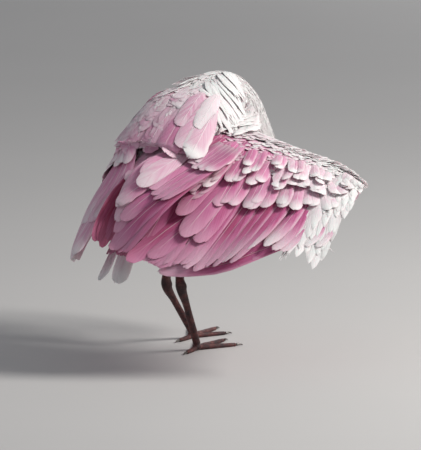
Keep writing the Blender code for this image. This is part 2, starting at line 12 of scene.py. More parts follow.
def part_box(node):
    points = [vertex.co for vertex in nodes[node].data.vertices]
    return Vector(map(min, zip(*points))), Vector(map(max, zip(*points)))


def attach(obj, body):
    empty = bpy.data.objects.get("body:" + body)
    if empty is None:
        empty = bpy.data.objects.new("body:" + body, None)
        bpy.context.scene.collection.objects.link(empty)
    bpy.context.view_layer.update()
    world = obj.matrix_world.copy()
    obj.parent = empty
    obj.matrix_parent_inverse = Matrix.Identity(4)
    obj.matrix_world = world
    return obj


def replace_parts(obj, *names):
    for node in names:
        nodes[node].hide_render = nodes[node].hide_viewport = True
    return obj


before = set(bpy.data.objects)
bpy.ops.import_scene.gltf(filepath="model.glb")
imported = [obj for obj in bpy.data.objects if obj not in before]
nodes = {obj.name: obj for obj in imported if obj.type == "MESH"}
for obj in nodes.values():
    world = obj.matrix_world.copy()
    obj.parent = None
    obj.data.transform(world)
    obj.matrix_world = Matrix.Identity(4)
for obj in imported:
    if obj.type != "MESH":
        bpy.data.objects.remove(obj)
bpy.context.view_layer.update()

# the body's lines, as in the solids
spine = np.array([
    # x, y, z, half depth, half width
    (-0.192, 0.000, 0.206, 0.009, 0.018),
    (-0.162, 0.000, 0.219, 0.030, 0.037),
    (-0.125, 0.000, 0.229, 0.052, 0.054),
    (-0.083, 0.000, 0.243, 0.073, 0.066),
    (-0.037, 0.000, 0.278, 0.081, 0.070),
    (0.012, 0.000, 0.322, 0.073, 0.066),
    (0.045, 0.000, 0.354, 0.054, 0.052),
    (0.070, -0.001, 0.369, 0.038, 0.040),
    (0.098, -0.006, 0.368, 0.032, 0.033),
    (0.121, -0.016, 0.347, 0.029, 0.029),
    (0.132, -0.030, 0.308, 0.027, 0.027),
    (0.136, -0.048, 0.268, 0.024, 0.024),
    (0.134, -0.066, 0.238, 0.021, 0.021),
    (0.118, -0.082, 0.214, 0.019, 0.019),
])
leftLeg = np.array([
    # x, y, z, radius
    (-0.006, 0.022, 0.262, 0.026),
    (0.020, 0.034, 0.214, 0.030),
    (0.010, 0.036, 0.162, 0.021),
    (-0.011, 0.036, 0.122, 0.0078),
    (-0.025, 0.032, 0.094, 0.0078),
    (-0.002, 0.031, 0.064, 0.0050),
    (0.043, 0.027, 0.010, 0.0056),
])
rightLeg = np.array([
    (-0.022, -0.034, 0.262, 0.036),
    (-0.024, -0.040, 0.214, 0.033),
    (-0.058, -0.032, 0.168, 0.021),
    (-0.083, -0.027, 0.131, 0.0078),
    (-0.095, -0.034, 0.108, 0.0078),
    (-0.072, -0.031, 0.073, 0.0050),
    (-0.031, -0.024, 0.010, 0.0056),
])
wingRight = {
    "leading": np.array([(0.036, -0.050, 0.328), (0.046, -0.112, 0.306), (0.050, -0.174, 0.287),
                         (0.053, -0.226, 0.270), (0.036, -0.262, 0.250)]),
    "forearm": np.array([(-0.044, -0.050, 0.313), (-0.048, -0.112, 0.300), (-0.020, -0.164, 0.286),
                         (0.010, -0.212, 0.270), (0.018, -0.262, 0.250)]),
    "trailing": np.array([(-0.254, -0.042, 0.168), (-0.237, -0.088, 0.163), (-0.212, -0.140, 0.161),
                          (-0.184, -0.200, 0.178), (-0.114, -0.274, 0.182)]),
    "forearmAt": 0.30,
    "camber": 0.012,
    "chord": 0.25,
}
handPath = np.array([(1.00, 0.46, 0.012), (0.88, 0.78, 0.024), (0.68, 0.94, 0.032), (0.42, 0.97, 0.034),
                     (0.17, 1.01, 0.026)])
wingLeft = np.array([
    # x, y, z, half depth, half width, lowest and highest angle
    (0.060, 0.000, 0.350, 0.056, 0.058, -36.0, 34.0),
    (0.020, 0.000, 0.326, 0.080, 0.078, -32.0, 42.0),
    (-0.037, 0.000, 0.278, 0.093, 0.086, -22.0, 49.0),
    (-0.083, 0.000, 0.243, 0.088, 0.084, -20.0, 70.0),
    (-0.130, 0.008, 0.226, 0.062, 0.078, -20.0, 80.0),
    (-0.185, 0.023, 0.204, 0.042, 0.053, -24.0, 84.0),
    (-0.232, 0.036, 0.178, 0.026, 0.029, -30.0, 84.0),
    (-0.262, 0.044, 0.163, 0.008, 0.010, -60.0, 80.0),
])
tertialRoots = np.array([(-0.064, -0.040, 0.322), (-0.082, -0.080, 0.313), (-0.092, -0.112, 0.307)])
tertialTips = np.array([(-0.216, 0.000, 0.243), (-0.244, -0.008, 0.190), (-0.256, -0.036, 0.184)])
tertialRootsLeft = np.array([(-0.118, -0.016, 0.298), (-0.118, -0.004, 0.302), (-0.118, 0.008, 0.302)])
tertialTipsLeft = np.array([(-0.224, -0.006, 0.198), (-0.240, 0.010, 0.188), (-0.247, 0.024, 0.196)])
tailFan = {"root": (-0.176, 0.004, 0.218), "aim": (-0.540, 0.070, -0.840), "length": 0.101, "rootWidth": 0.032,
           "tipWidth": 0.052, "roof": 0.010}
headLines = {
    "centre": (0.118, -0.082, 0.214),
    "aim": (-0.92, -0.36, 0.08),
    "crown": (0.10, -0.70, -0.70),
    "eyeAhead": 0.0270,
    "eyeSide": 0.0148,
    "eyeRise": 0.0060,
    "eyeRadius": 0.0056,
    # distance ahead of the centre, half depth, half width, rise
    "stations": np.array([
        (-0.0215, 0.0060, 0.0060, 0.000), (-0.0165, 0.0145, 0.0135, 0.000), (-0.0060, 0.0205, 0.0195, 0.001),
        (0.0100, 0.0222, 0.0205, 0.002), (0.0260, 0.0210, 0.0186, 0.002), (0.0380, 0.0176, 0.0160, 0.001),
        (0.0480, 0.0136, 0.0138, -0.001)]),
}


def unit(v):
    return v / np.maximum(np.linalg.norm(v, axis=-1, keepdims=True), 1e-12)


headAim = unit(np.array(headLines["aim"]))
headUp = np.array(headLines["crown"]) - headAim * np.dot(headLines["crown"], headAim)
headUp = unit(headUp)
headLeft = np.cross(headUp, headAim)
headCentre = np.array(headLines["centre"])
leftEye = headCentre + headAim * headLines["eyeAhead"] + headLeft * headLines["eyeSide"] + headUp * headLines["eyeRise"]
low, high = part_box("eye_left")
stance = np.array((low + high) / 2) - leftEye  # from the drawing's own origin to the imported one
print("stance", stance.round(4))


def curveAt(points, t):
    last = len(points) - 1
    padded = np.vstack([2 * points[0] - points[1], points, 2 * points[-1] - points[-2]])
    i = np.clip(np.floor(t).astype(int), 0, last - 1)
    f = (t - i)[..., None]
    p0, p1, p2, p3 = padded[i], padded[i + 1], padded[i + 2], padded[i + 3]
    return 0.5 * (2 * p1 + (p2 - p0) * f + (2 * p0 - 5 * p1 + 4 * p2 - p3) * f**2 + (3 * p1 - p0 - 3 * p2 + p3) * f**3)


def bodySurface(t, turn, grow=0.0):  # turn in turns round the body, 0 at its left side, 0.25 on the back
    here = curveAt(spine, t)
    along = unit(curveAt(spine, np.minimum(t + 0.02, 13.0))[..., :3] - curveAt(spine, np.maximum(t - 0.02, 0.0))[..., :3])
    side = unit(np.array((0.0, 1.0, 0.0)) - along * along[..., 1:2])
    up = np.cross(along, side)
    a = turn * 2 * np.pi
    return (here[..., :3] + side * ((here[..., 4] + grow) * np.cos(a))[..., None]
            + up * ((here[..., 3] + grow) * np.sin(a))[..., None])


def legSurface(leg):
    def surface(t, turn):
        here = curveAt(leg, t)
        along = unit(curveAt(leg, t + 0.02)[..., :3] - curveAt(leg, t - 0.02)[..., :3])
        side = unit(np.array((0.0, 1.0, 0.0)) - along * along[..., 1:2])
        up = np.cross(along, side)
        a = turn * 2 * np.pi
        return here[..., :3] + (side * np.cos(a)[..., None] + up * np.sin(a)[..., None]) * here[..., 3:4]
    return surface


def rightWingSurface(u, v):  # u from body to wrist, v from leading to trailing edge
    front = curveAt(wingRight["leading"], u * 4)
    arm = curveAt(wingRight["forearm"], u * 4)
    back = curveAt(wingRight["trailing"], u * 4)
    f = (v / wingRight["forearmAt"])[..., None]
    ahead = front * (1 - f) + arm * f
    ahead[..., 2] += 0.007 * np.sin(np.pi * f[..., 0])
    g = ((v - wingRight["forearmAt"]) / (1 - wingRight["forearmAt"]))[..., None]
    behind = arm * (1 - g) + back * g
    behind[..., 2] += wingRight["camber"] * np.sin(np.pi * g[..., 0])
    return np.where((v < wingRight["forearmAt"])[..., None], ahead, behind)


def rightWingHalf(u, v):  # half the wing's thickness
    arm = 0.024 - 0.010 * u
    f = np.clip(v / wingRight["forearmAt"], 0.0, 1.0)
    g = np.clip((v - wingRight["forearmAt"]) / (1 - wingRight["forearmAt"]), 0.0, 1.0)
    return np.where(v < wingRight["forearmAt"], arm * (0.30 + 0.70 * np.sqrt(f)), 0.0016 + (arm - 0.0016) * (1 - g) ** 1.6) / 2


def leftWingSurface(t, share):
    here = curveAt(wingLeft, t)
    a = np.radians(here[..., 5] + (here[..., 6] - here[..., 5]) * share)
    up = unit(np.array((-0.50, 0.0, 0.86)))
    out = here[..., :3] + up * (here[..., 3] * np.sin(a))[..., None]
    out[..., 1] += here[..., 4] * np.cos(a)
    return out


def leftWingHalf(t, share):
    middle = 0.35 + 0.65 * np.sin(np.pi * np.clip(share, 0, 1))
    return (0.0016 + 0.0200 * (1 - np.clip(t / 7.0, 0, 1)) ** 1.3 * middle) / 2


def tertialSurface(u, v):
    root, tip = curveAt(tertialRoots, u * 2), curveAt(tertialTips, u * 2)
    bow = np.sin(np.pi * np.clip(v, 0, 1) ** 1.4)[..., None] * np.array((-0.012, -0.006, 0.020))
    return root + (tip - root) * v[..., None] + bow


def tertialSurfaceLeft(u, v):
    root, tip = curveAt(tertialRootsLeft, u * 2), curveAt(tertialTipsLeft, u * 2)
    return root + (tip - root) * v[..., None] + np.sin(np.pi * np.clip(v, 0, 1) ** 1.4)[..., None] * np.array((-0.004, 0.0, 0.010))


def tailSurface(u, v):
    aim = unit(np.array(tailFan["aim"]))
    side = unit(np.array((0.0, 1.0, 0.0)) - aim * aim[1])
    up = np.cross(side, aim)
    up = up if up[2] > 0 else -up
    width = tailFan["rootWidth"] + (tailFan["tipWidth"] - tailFan["rootWidth"]) * v
    droop = tailFan["roof"] * (2 * u - 1) ** 2
    return (np.array(tailFan["root"]) + aim * (tailFan["length"] * v)[..., None]
            + side * ((u - 0.5) * width)[..., None] - up * droop[..., None])


def handSurface(across, v):  # the folded primaries, under the secondaries: across from outer to inner edge
    here = curveAt(handPath, v * 4)
    point = rightWingSurface(here[..., 0], here[..., 1] - here[..., 2] * across / wingRight["chord"])
    drop = 0.0145 + (0.0085 - 0.0145) * v
    return point + np.array((-0.10, -0.25, -0.96)) * drop[..., None]


def vaneShape(across, outline):
    # one closed vane: a grid shaped by its outline, then a second face under it, joined along the rim
    rows = np.array(outline)
    bm = bmesh.new()
    rowLayer = bm.verts.layers.int.new("row")
    bmesh.ops.create_grid(bm, x_segments=across, y_segments=len(rows) - 1, size=0.5)
    for vert in bm.verts:
        vert[rowLayer] = int(round((vert.co.y + 0.5) * (len(rows) - 1)))
        row = rows[vert[rowLayer]]
        x = vert.co.x * 2
        vert.co = (math.sin(x * math.pi / 2) * row[1] if across > 2 else x * row[1], row[0] - 0.03 * x * x * (row[0] > 0.9), 0.0)
    under = bmesh.ops.duplicate(bm, geom=bm.verts[:] + bm.edges[:] + bm.faces[:])["geom"]
    underFaces = [g for g in under if isinstance(g, bmesh.types.BMFace)]
    bmesh.ops.reverse_faces(bm, faces=underFaces)
    underVerts = {v for f in underFaces for v in f.verts}
    for vert in bm.verts:
        crown = 1.0 if abs(vert.co.x) < 0.06 else 0.7
        vert.co.z = 0.0 if vert.is_boundary else (0.5 * crown if vert not in underVerts else -0.3)
    bmesh.ops.remove_doubles(bm, verts=bm.verts, dist=1e-5)
    return bm


def vaneArrays(across, outline):
    bm = vaneShape(across, outline)
    bm.verts.index_update()
    xyz = np.array([v.co for v in bm.verts])
    rim = np.abs(xyz[:, 2]) < 1e-9
    faces = np.array([[v.index for v in f.verts] for f in bm.faces])
    places = np.array([row[0] for row in outline])
    rowLayer = bm.verts.layers.int["row"]
    row = np.array([v[rowLayer] for v in bm.verts])
    bm.free()
    return {"xyz": xyz, "rim": rim, "faces": faces, "rows": places, "row": row}


outlines = {  # place along the vane and width there
    "hair": ((0.0, 0.45), (0.4, 1.0), (0.75, 0.75), (1.0, 0.12)),
    "small": ((0.0, 0.35), (0.25, 0.85), (0.55, 1.0), (0.8, 0.85), (0.94, 0.55), (1.0, 0.22)),
    "body": ((0.0, 0.30), (0.25, 0.80), (0.5, 1.0), (0.74, 0.96), (0.88, 0.76), (0.96, 0.48), (1.0, 0.20)),
    "round": ((0.0, 0.25), (0.15, 0.60), (0.35, 0.90), (0.6, 1.0), (0.78, 0.97), (0.88, 0.85), (0.945, 0.66), (0.985, 0.38), (1.0, 0.16)),
    "plume": ((0.0, 0.22), (0.12, 0.55), (0.28, 0.85), (0.45, 1.0), (0.60, 0.96), (0.73, 0.80), (0.84, 0.60), (0.93, 0.36), (1.0, 0.08)),
    "flight": ((0.0, 0.30), (0.06, 0.42), (0.13, 0.56), (0.21, 0.70), (0.30, 0.82), (0.39, 0.91), (0.48, 0.97), (0.57, 1.0), (0.66, 1.0),
               (0.74, 0.99), (0.81, 0.96), (0.87, 0.89), (0.915, 0.80), (0.95, 0.67), (0.975, 0.50), (0.99, 0.33), (1.0, 0.15)),
}
vanes = {"hair": vaneArrays(2, outlines["hair"]), "small": vaneArrays(2, outlines["small"]), "body": vaneArrays(4, outlines["body"]),
         "covert": vaneArrays(4, outlines["round"]), "plume": vaneArrays(4, outlines["plume"]),
         "flight": vaneArrays(6, outlines["flight"])}
featherCount = [0]


def layFeathers(name, tract, material):
    # tract: surface, side (+1 or -1 turns the normals out), a0, b0, a1, b1 in surface places and per-feather values
    kind = vanes[tract["vane"]]
    rng = np.random.default_rng(tract["seed"])
    a0, b0, a1, b1 = (np.asarray(tract[k], float) for k in ("a0", "b0", "a1", "b1"))
    count = len(a0)
    give = lambda key, default: np.broadcast_to(np.asarray(tract.get(key, default), float), (count,))
    y = kind["rows"][None, :]
    a = a0[:, None] + (a1 - a0)[:, None] * y
    b = b0[:, None] + (b1 - b0)[:, None] * y
    a = a + give("bowA", 0.0)[:, None] * np.sin(np.pi * y)
    b = b + give("sway", 0.0)[:, None] * np.sin(np.pi * y)
    surface, e = tract["surface"], 2e-3
    p = surface(a, b)
    du = surface(a + e, b) - surface(a - e, b)
    dv = surface(a, b + e) - surface(a, b - e)
    n = unit(np.cross(du, dv)) * tract["side"]
    if "fixedNormal" in tract:
        n = unit(n * 0 + np.array(tract["fixedNormal"]))
    length = np.linalg.norm(np.diff(p, axis=1), axis=-1).sum(1)
    rise = give("rootHeight", -0.003)[:, None] + (give("tipHeight", 0.0) - give("rootHeight", -0.003))[:, None] * y**0.8
    rise = rise + (give("lift", 0.0) * length)[:, None] * y ** 1.6 + give("clump", 0.0)[:, None]
    centre = p + n * rise[..., None]
    t = np.gradient(centre, axis=1)
    t = unit(t)
    s = unit(np.cross(t, n))
    up = np.cross(s, t)
    twist = give("twist", 0.0)[:, None, None]
    s, up = s * np.cos(twist) + up * np.sin(twist), up * np.cos(twist) - s * np.sin(twist)
    roll = give("roll", 0.0)
    half = give("width", 0.01) / 2
    row, xyz, rim = kind["row"], kind["xyz"], kind["rim"]
    k = len(xyz)
    x = np.broadcast_to(xyz[:, 0], (count, k)).copy()
    ragged = give("ragged", 0.06)[:, None]
    edge = rim & (xyz[:, 1] > 0.35)
    x *= 1 - ragged * rng.random((count, k)) * edge * 1.6
    push = ragged * (rng.random((count, k)) - 0.7) * (edge & (xyz[:, 1] > 0.8)) * 0.6
    split = (rng.random((count, k)) < give("splits", 0.02)[:, None]) & edge & (xyz[:, 1] < 0.97)
    x *= 1 - 0.30 * split
    camber = give("camber", 0.18)[:, None]
    thick = give("thick", 0.0006)[:, None]
    lean = x * half[:, None]
    place = (centre[:, row] + s[:, row] * lean[..., None] + t[:, row] * (push * length[:, None])[..., None]
             + up[:, row] * (xyz[:, 2] * thick - camber * x**2 * half[:, None] + roll[:, None] * lean)[..., None])
    place += stance
    faces = (kind["faces"][None] + (np.arange(count) * k)[:, None, None]).reshape(-1, kind["faces"].shape[1])
    if tract.get("flip"):
        faces = faces[:, ::-1]
    mesh = bpy.data.meshes.new(name)
    mesh.vertices.add(count * k)
    mesh.vertices.foreach_set("co", place.reshape(-1))
    mesh.loops.add(faces.size)
    mesh.loops.foreach_set("vertex_index", faces.reshape(-1).astype(np.int32))
    mesh.polygons.add(len(faces))
    mesh.polygons.foreach_set("loop_start", (np.arange(len(faces)) * faces.shape[1]).astype(np.int32))
    mesh.update(calc_edges=True)
    mesh.validate()
    vaneUv = np.tile(np.stack([xyz[:, 0] * 0.5 + 0.5, xyz[:, 1]], 1), (count, 1))
    root = np.stack([give("bakeU", 0.5), give("bakeV", 0.5)], 1)
    patch = np.stack([xyz[:, 0] * 0.0015, (xyz[:, 1] - 0.5) * 0.003], 1)
    bakeUv = (root[:, None] + patch[None]).reshape(-1, 2)
    loop = faces.reshape(-1)
    for layerName, uv in (("vane", vaneUv), ("OFBake", bakeUv)):
        layer = mesh.uv_layers.new(name=layerName)
        layer.uv.foreach_set("vector", uv[loop].astype(np.float32).reshape(-1))
    mesh.uv_layers.active = mesh.uv_layers["vane"]
    mesh.uv_layers["vane"].active_render = True
    for key, values in (("rose", give("rose", 0.3)), ("tone", rng.normal(0, 1, count)), ("pale", give("pale", 0.3))):
        attribute = mesh.attributes.new(key, "FLOAT", "POINT")
        attribute.data.foreach_set("value", np.repeat(values, k).astype(np.float32))
    mesh.shade_smooth()
    mesh.set_sharp_from_angle(angle=math.radians(80))
    mesh.materials.append(material)
    piece = bpy.data.objects.new(name, mesh)
    bpy.context.scene.collection.objects.link(piece)
    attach(piece, "root")
    featherCount[0] += count
    print(name, count, "feathers", count * len(kind["faces"]) * 2, "triangles")
    return piece


def jitter(rng, n, amount):
    return rng.normal(0, 1, n) * amount


def bodyRows(settings):
    # rows of roots round the body: from the start station to the end one, each row half a step out from the last
    rng = np.random.default_rng(settings["seed"])
    t, turn, step = [], [], []
    at = settings["start"]
    rowIndex = 0
    while (at - settings["end"]) * settings["way"] < 0:
        size = np.interp(at, settings["stations"], settings["lengths"])
        ring = bodySurface(np.full(120, at), np.arange(120) / 120)
        girth = np.linalg.norm(np.roll(ring, -1, 0) - ring, axis=1)
        total = girth.sum()
        n = max(6, int(total / (size * settings["spread"])))
        marks = (np.arange(n) + 0.5 * (rowIndex % 2)) / n * total
        around = np.interp(marks, np.concatenate([[0], np.cumsum(girth)]), np.arange(121) / 120)
        around = around + jitter(rng, n, 0.22 / n)
        here = at + jitter(rng, n, 0.03)
        ahead = bodySurface(np.full(120, at + 0.1), np.arange(120) / 120)
        reach = np.linalg.norm(ahead - ring, axis=1) / 0.1  # metres per station
        pitch = size * settings["pitch"]
        advance = pitch / reach.max()
        local = np.interp(around % 1.0, np.arange(120) / 120, reach) * advance
        keep = rng.random(n) < np.clip(local / pitch * 1.15, 0.12, 1.0)
        t.append(here[keep])
        turn.append(around[keep])
        step.append(np.full(keep.sum(), size))
        at += settings["way"] * advance
        rowIndex += 1
    return np.concatenate(t), np.concatenate(turn), np.concatenate(step), rng


def smooth(low, high, x):
    f = np.clip((x - low) / (high - low), 0.0, 1.0)
    return f * f * (3 - 2 * f)


# materials
def newMaterial(name):
    material = bpy.data.materials.new(name)
    material.use_nodes = True
    tree = material.node_tree
    return material, tree, tree.nodes["Principled BSDF"]


def addNode(tree, kind, **values):
    node = tree.nodes.new(kind)
    for key, value in values.items():
        if key.startswith("in_"):
            name = key[3:].replace("_", " ")
            node.inputs[int(name) if name.isdigit() else name].default_value = value
        else:
            setattr(node, key, value)
    return node


def mathNode(tree, operation, a, b=None, c=None, clamp=False):
    node = tree.nodes.new("ShaderNodeMath")
    node.operation = operation
    node.use_clamp = clamp
    for i, value in enumerate((a, b, c)):
        if value is None:
            continue
        if isinstance(value, (int, float)):
            node.inputs[i].default_value = value
        else:
            tree.links.new(value, node.inputs[i])
    return node.outputs[0]


def mixColour(tree, factor, a, b, blend="MIX"):
    node = tree.nodes.new("ShaderNodeMix")
    node.data_type = "RGBA"
    node.blend_type = blend
    for socket, value in ((node.inputs[0], factor), (node.inputs[6], a), (node.inputs[7], b)):
        if isinstance(value, (int, float, tuple)):
            socket.default_value = value
        else:
            tree.links.new(value, socket)
    return node.outputs[2]


def remap(tree, value, low, high, toLow=0.0, toHigh=1.0, smoothly=True):
    node = addNode(tree, "ShaderNodeMapRange")
    node.interpolation_type = "SMOOTHSTEP" if smoothly else "LINEAR"
    tree.links.new(value, node.inputs[0])
    for i, number in ((1, low), (2, high), (3, toLow), (4, toHigh)):
        node.inputs[i].default_value = number
    return node.outputs[0]


def colourRamp(tree, value, stops):
    node = addNode(tree, "ShaderNodeValToRGB")
    ramp = node.color_ramp
    while len(ramp.elements) < len(stops):
        ramp.elements.new(0.5)
    for element, (place, colour) in zip(ramp.elements, stops):
        element.position = place
        element.color = (*colour, 1.0)
    tree.links.new(value, node.inputs[0])
    return node.outputs[0]


def noise(tree, vector, scale, detail=2.0, rough=0.5):
    node = addNode(tree, "ShaderNodeTexNoise", in_Scale=scale, in_Detail=detail, in_Roughness=rough)
    tree.links.new(vector, node.inputs["Vector"])
    return node.outputs["Fac"]


def newGroup(name, inputs, outputs):
    group = bpy.data.node_groups.new(name, "ShaderNodeTree")
    for socketName, kind, default in inputs:
        socket = group.interface.new_socket(name=socketName, in_out="INPUT", socket_type=kind)
        if default is not None:
            socket.default_value = default
    for socketName, kind in outputs:
        group.interface.new_socket(name=socketName, in_out="OUTPUT", socket_type=kind)
    return group, addNode(group, "NodeGroupInput"), addNode(group, "NodeGroupOutput")


plumage = {
    "white": (0.80, 0.77, 0.77),
    "blush": (0.79, 0.61, 0.67),
    "pink": (0.65, 0.26, 0.41),
    "rose": (0.50, 0.11, 0.26),
    "carmine": (0.28, 0.015, 0.060),
    "tipWhite": (0.90, 0.86, 0.85),
    "downGrey": (0.62, 0.55, 0.57),
}
roseStops = [(0.0, plumage["white"]), (0.22, plumage["blush"]), (0.45, plumage["pink"]), (0.70, plumage["rose"]),
             (1.0, plumage["carmine"])]


def makePlumageColour():  # from white through pink to carmine, by one value; skin and feathers share it
    group, given, out = newGroup("plumageColour", [("Rose", "NodeSocketFloat", 0.3)], [("Colour", "NodeSocketColor")])
    group.links.new(colourRamp(group, given.outputs["Rose"], roseStops), out.inputs["Colour"])
    return group


def makeVaneFinish():
    group, given, out = newGroup(
        "vaneFinish",
        [("Vane", "NodeSocketVector", None), ("Rose", "NodeSocketFloat", 0.3), ("Tone", "NodeSocketFloat", 0.0),
         ("Pale", "NodeSocketFloat", 0.3), ("Barbs", "NodeSocketFloat", 40.0)],
        [("Colour", "NodeSocketColor"), ("Roughness", "NodeSocketFloat"), ("Height", "NodeSocketFloat")])
    split = addNode(group, "ShaderNodeSeparateXYZ")
    group.links.new(given.outputs["Vane"], split.inputs[0])
    x, y = split.outputs[0], split.outputs[1]
    off = mathNode(group, "ABSOLUTE", mathNode(group, "SUBTRACT", x, 0.5))
    slant = mathNode(group, "SUBTRACT", y, mathNode(group, "MULTIPLY", off, 0.75))  # barbs run out and forward
    barb = addNode(group, "ShaderNodeCombineXYZ")
    group.links.new(mathNode(group, "MULTIPLY", slant, given.outputs["Barbs"]), barb.inputs[0])
    group.links.new(mathNode(group, "MULTIPLY", x, 1.6), barb.inputs[1])
    group.links.new(mathNode(group, "MULTIPLY", given.outputs["Tone"], 9.0), barb.inputs[2])
    streak = noise(group, barb.outputs[0], 1.0, 3.0, 0.6)
    soft = noise(group, barb.outputs[0], 0.22, 2.0, 0.5)
    rose = mathNode(group, "MULTIPLY_ADD", given.outputs["Tone"], 0.035, given.outputs["Rose"])
    rose = mathNode(group, "MULTIPLY_ADD", mathNode(group, "SUBTRACT", soft, 0.5), 0.30, rose)
    rose = mathNode(group, "MULTIPLY_ADD", mathNode(group, "SUBTRACT", streak, 0.5), 0.10, rose)
    tip = remap(group, y, 0.62, 1.0)
    rim = mathNode(group, "MULTIPLY", remap(group, off, 0.26, 0.50), remap(group, y, 0.15, 0.6))
    fade = mathNode(group, "MAXIMUM", tip, mathNode(group, "MULTIPLY", rim, 0.55))
    fade = mathNode(group, "MULTIPLY", fade, given.outputs["Pale"], clamp=True)
    rose = mathNode(group, "MULTIPLY", rose, mathNode(group, "SUBTRACT", 1.0, mathNode(group, "MULTIPLY", fade, 0.75)), clamp=True)
    inner = addNode(group, "ShaderNodeGroup")
    inner.node_tree = bpy.data.node_groups["plumageColour"]
    group.links.new(rose, inner.inputs[0])
    colour = inner.outputs[0]
    down = mathNode(group, "MULTIPLY", remap(group, y, 0.30, 0.0), 0.45)
    colour = mixColour(group, down, colour, (*plumage["downGrey"], 1.0))
    colour = mixColour(group, mathNode(group, "MULTIPLY", fade, 0.45), colour, (*plumage["tipWhite"], 1.0))
    # painted shade: the darker streaks in the gaps between barbs
    shade = mathNode(group, "MULTIPLY", remap(group, streak, 0.40, 0.24), 0.22)  # gaps between barbs
    colour = mixColour(group, shade, colour, mixColour(group, 1.0, colour, (0.55, 0.42, 0.46, 1.0), "MULTIPLY"))
    quill = mathNode(group, "MULTIPLY", remap(group, off, 0.030, 0.008), remap(group, y, 0.98, 0.7))
    colour = mixColour(group, mathNode(group, "MULTIPLY", quill, 0.38), colour, (0.88, 0.80, 0.79, 1.0))
    group.links.new(colour, out.inputs["Colour"])
    group.links.new(remap(group, streak, 0.3, 0.7, 0.72, 0.50), out.inputs["Roughness"])
    height = mathNode(group, "ADD", mathNode(group, "MULTIPLY", streak, 1.0), mathNode(group, "MULTIPLY", quill, 0.8))
    group.links.new(height, out.inputs["Height"])
    return group


def attributeNode(tree, name):
    node = addNode(tree, "ShaderNodeAttribute", attribute_name=name)
    return node.outputs["Fac"]


def makeFeatherMaterial(name, barbs, sheen, bump):
    material, tree, shader = newMaterial(name)
    uv = addNode(tree, "ShaderNodeUVMap", uv_map="vane")
    vane = addNode(tree, "ShaderNodeGroup")
    vane.node_tree = bpy.data.node_groups["vaneFinish"]
    tree.links.new(uv.outputs[0], vane.inputs["Vane"])
    for key in ("Rose", "Tone", "Pale"):
        tree.links.new(attributeNode(tree, key.lower()), vane.inputs[key])
    vane.inputs["Barbs"].default_value = barbs
    tree.links.new(vane.outputs["Colour"], shader.inputs["Base Color"])
    tree.links.new(vane.outputs["Roughness"], shader.inputs["Roughness"])
    lumps = addNode(tree, "ShaderNodeBump", in_Strength=bump, in_Distance=0.0006)
    tree.links.new(vane.outputs["Height"], lumps.inputs["Height"])
    tree.links.new(lumps.outputs[0], shader.inputs["Normal"])
    shader.inputs["Specular IOR Level"].default_value = 0.28
    shader.inputs["Sheen Weight"].default_value = sheen
    shader.inputs["Sheen Roughness"].default_value = 0.45
    shader.inputs["Subsurface Weight"].default_value = 0.30
    shader.inputs["Subsurface Scale"].default_value = 0.004
    shader.inputs["Subsurface Radius"].default_value = (1.0, 0.55, 0.60)
    return material


makePlumageColour()
makeVaneFinish()
bodyFeather = makeFeatherMaterial("body_feather", 14.0, 0.20, 0.5)
wingFeather = makeFeatherMaterial("wing_covert_feather", 26.0, 0.15, 0.55)
flightFeather = makeFeatherMaterial("flight_feather", 90.0, 0.10, 0.6)
print("feather materials made")


def markBody(t, turn):  # how rosy the plumage is round the body: white neck and mantle, pink behind and below
    back = 0.5 + 0.5 * np.sin(turn * 2 * np.pi)
    behind = smooth(5.2, 2.2, t)
    rose = 0.03 + behind * (0.30 + 0.22 * (1 - back))
    rump = smooth(2.4, 0.8, t) * smooth(0.35, 0.8, back)
    rose = rose + rump * 0.30
    side = smooth(6.2, 3.8, t) * smooth(0.55, 0.2, back)
    rose = rose + side * 0.10
    tuft = np.exp(-((t - 7.4) / 0.5) ** 2) * smooth(0.45, 0.1, back)
    return np.clip(rose + tuft * 0.22, 0.0, 1.0)


def furrow(t, turn):  # soft furrows where the feathers part into tufts, along the lie of the coat
    a = turn * 2 * np.pi
    return (np.sin(a * 13 + 1.7 * np.sin(t * 1.1) + 0.8 * np.sin(t * 2.9 + a)) + 0.7 * np.sin(a * 7 - t * 1.3) - 0.4) / 1.7


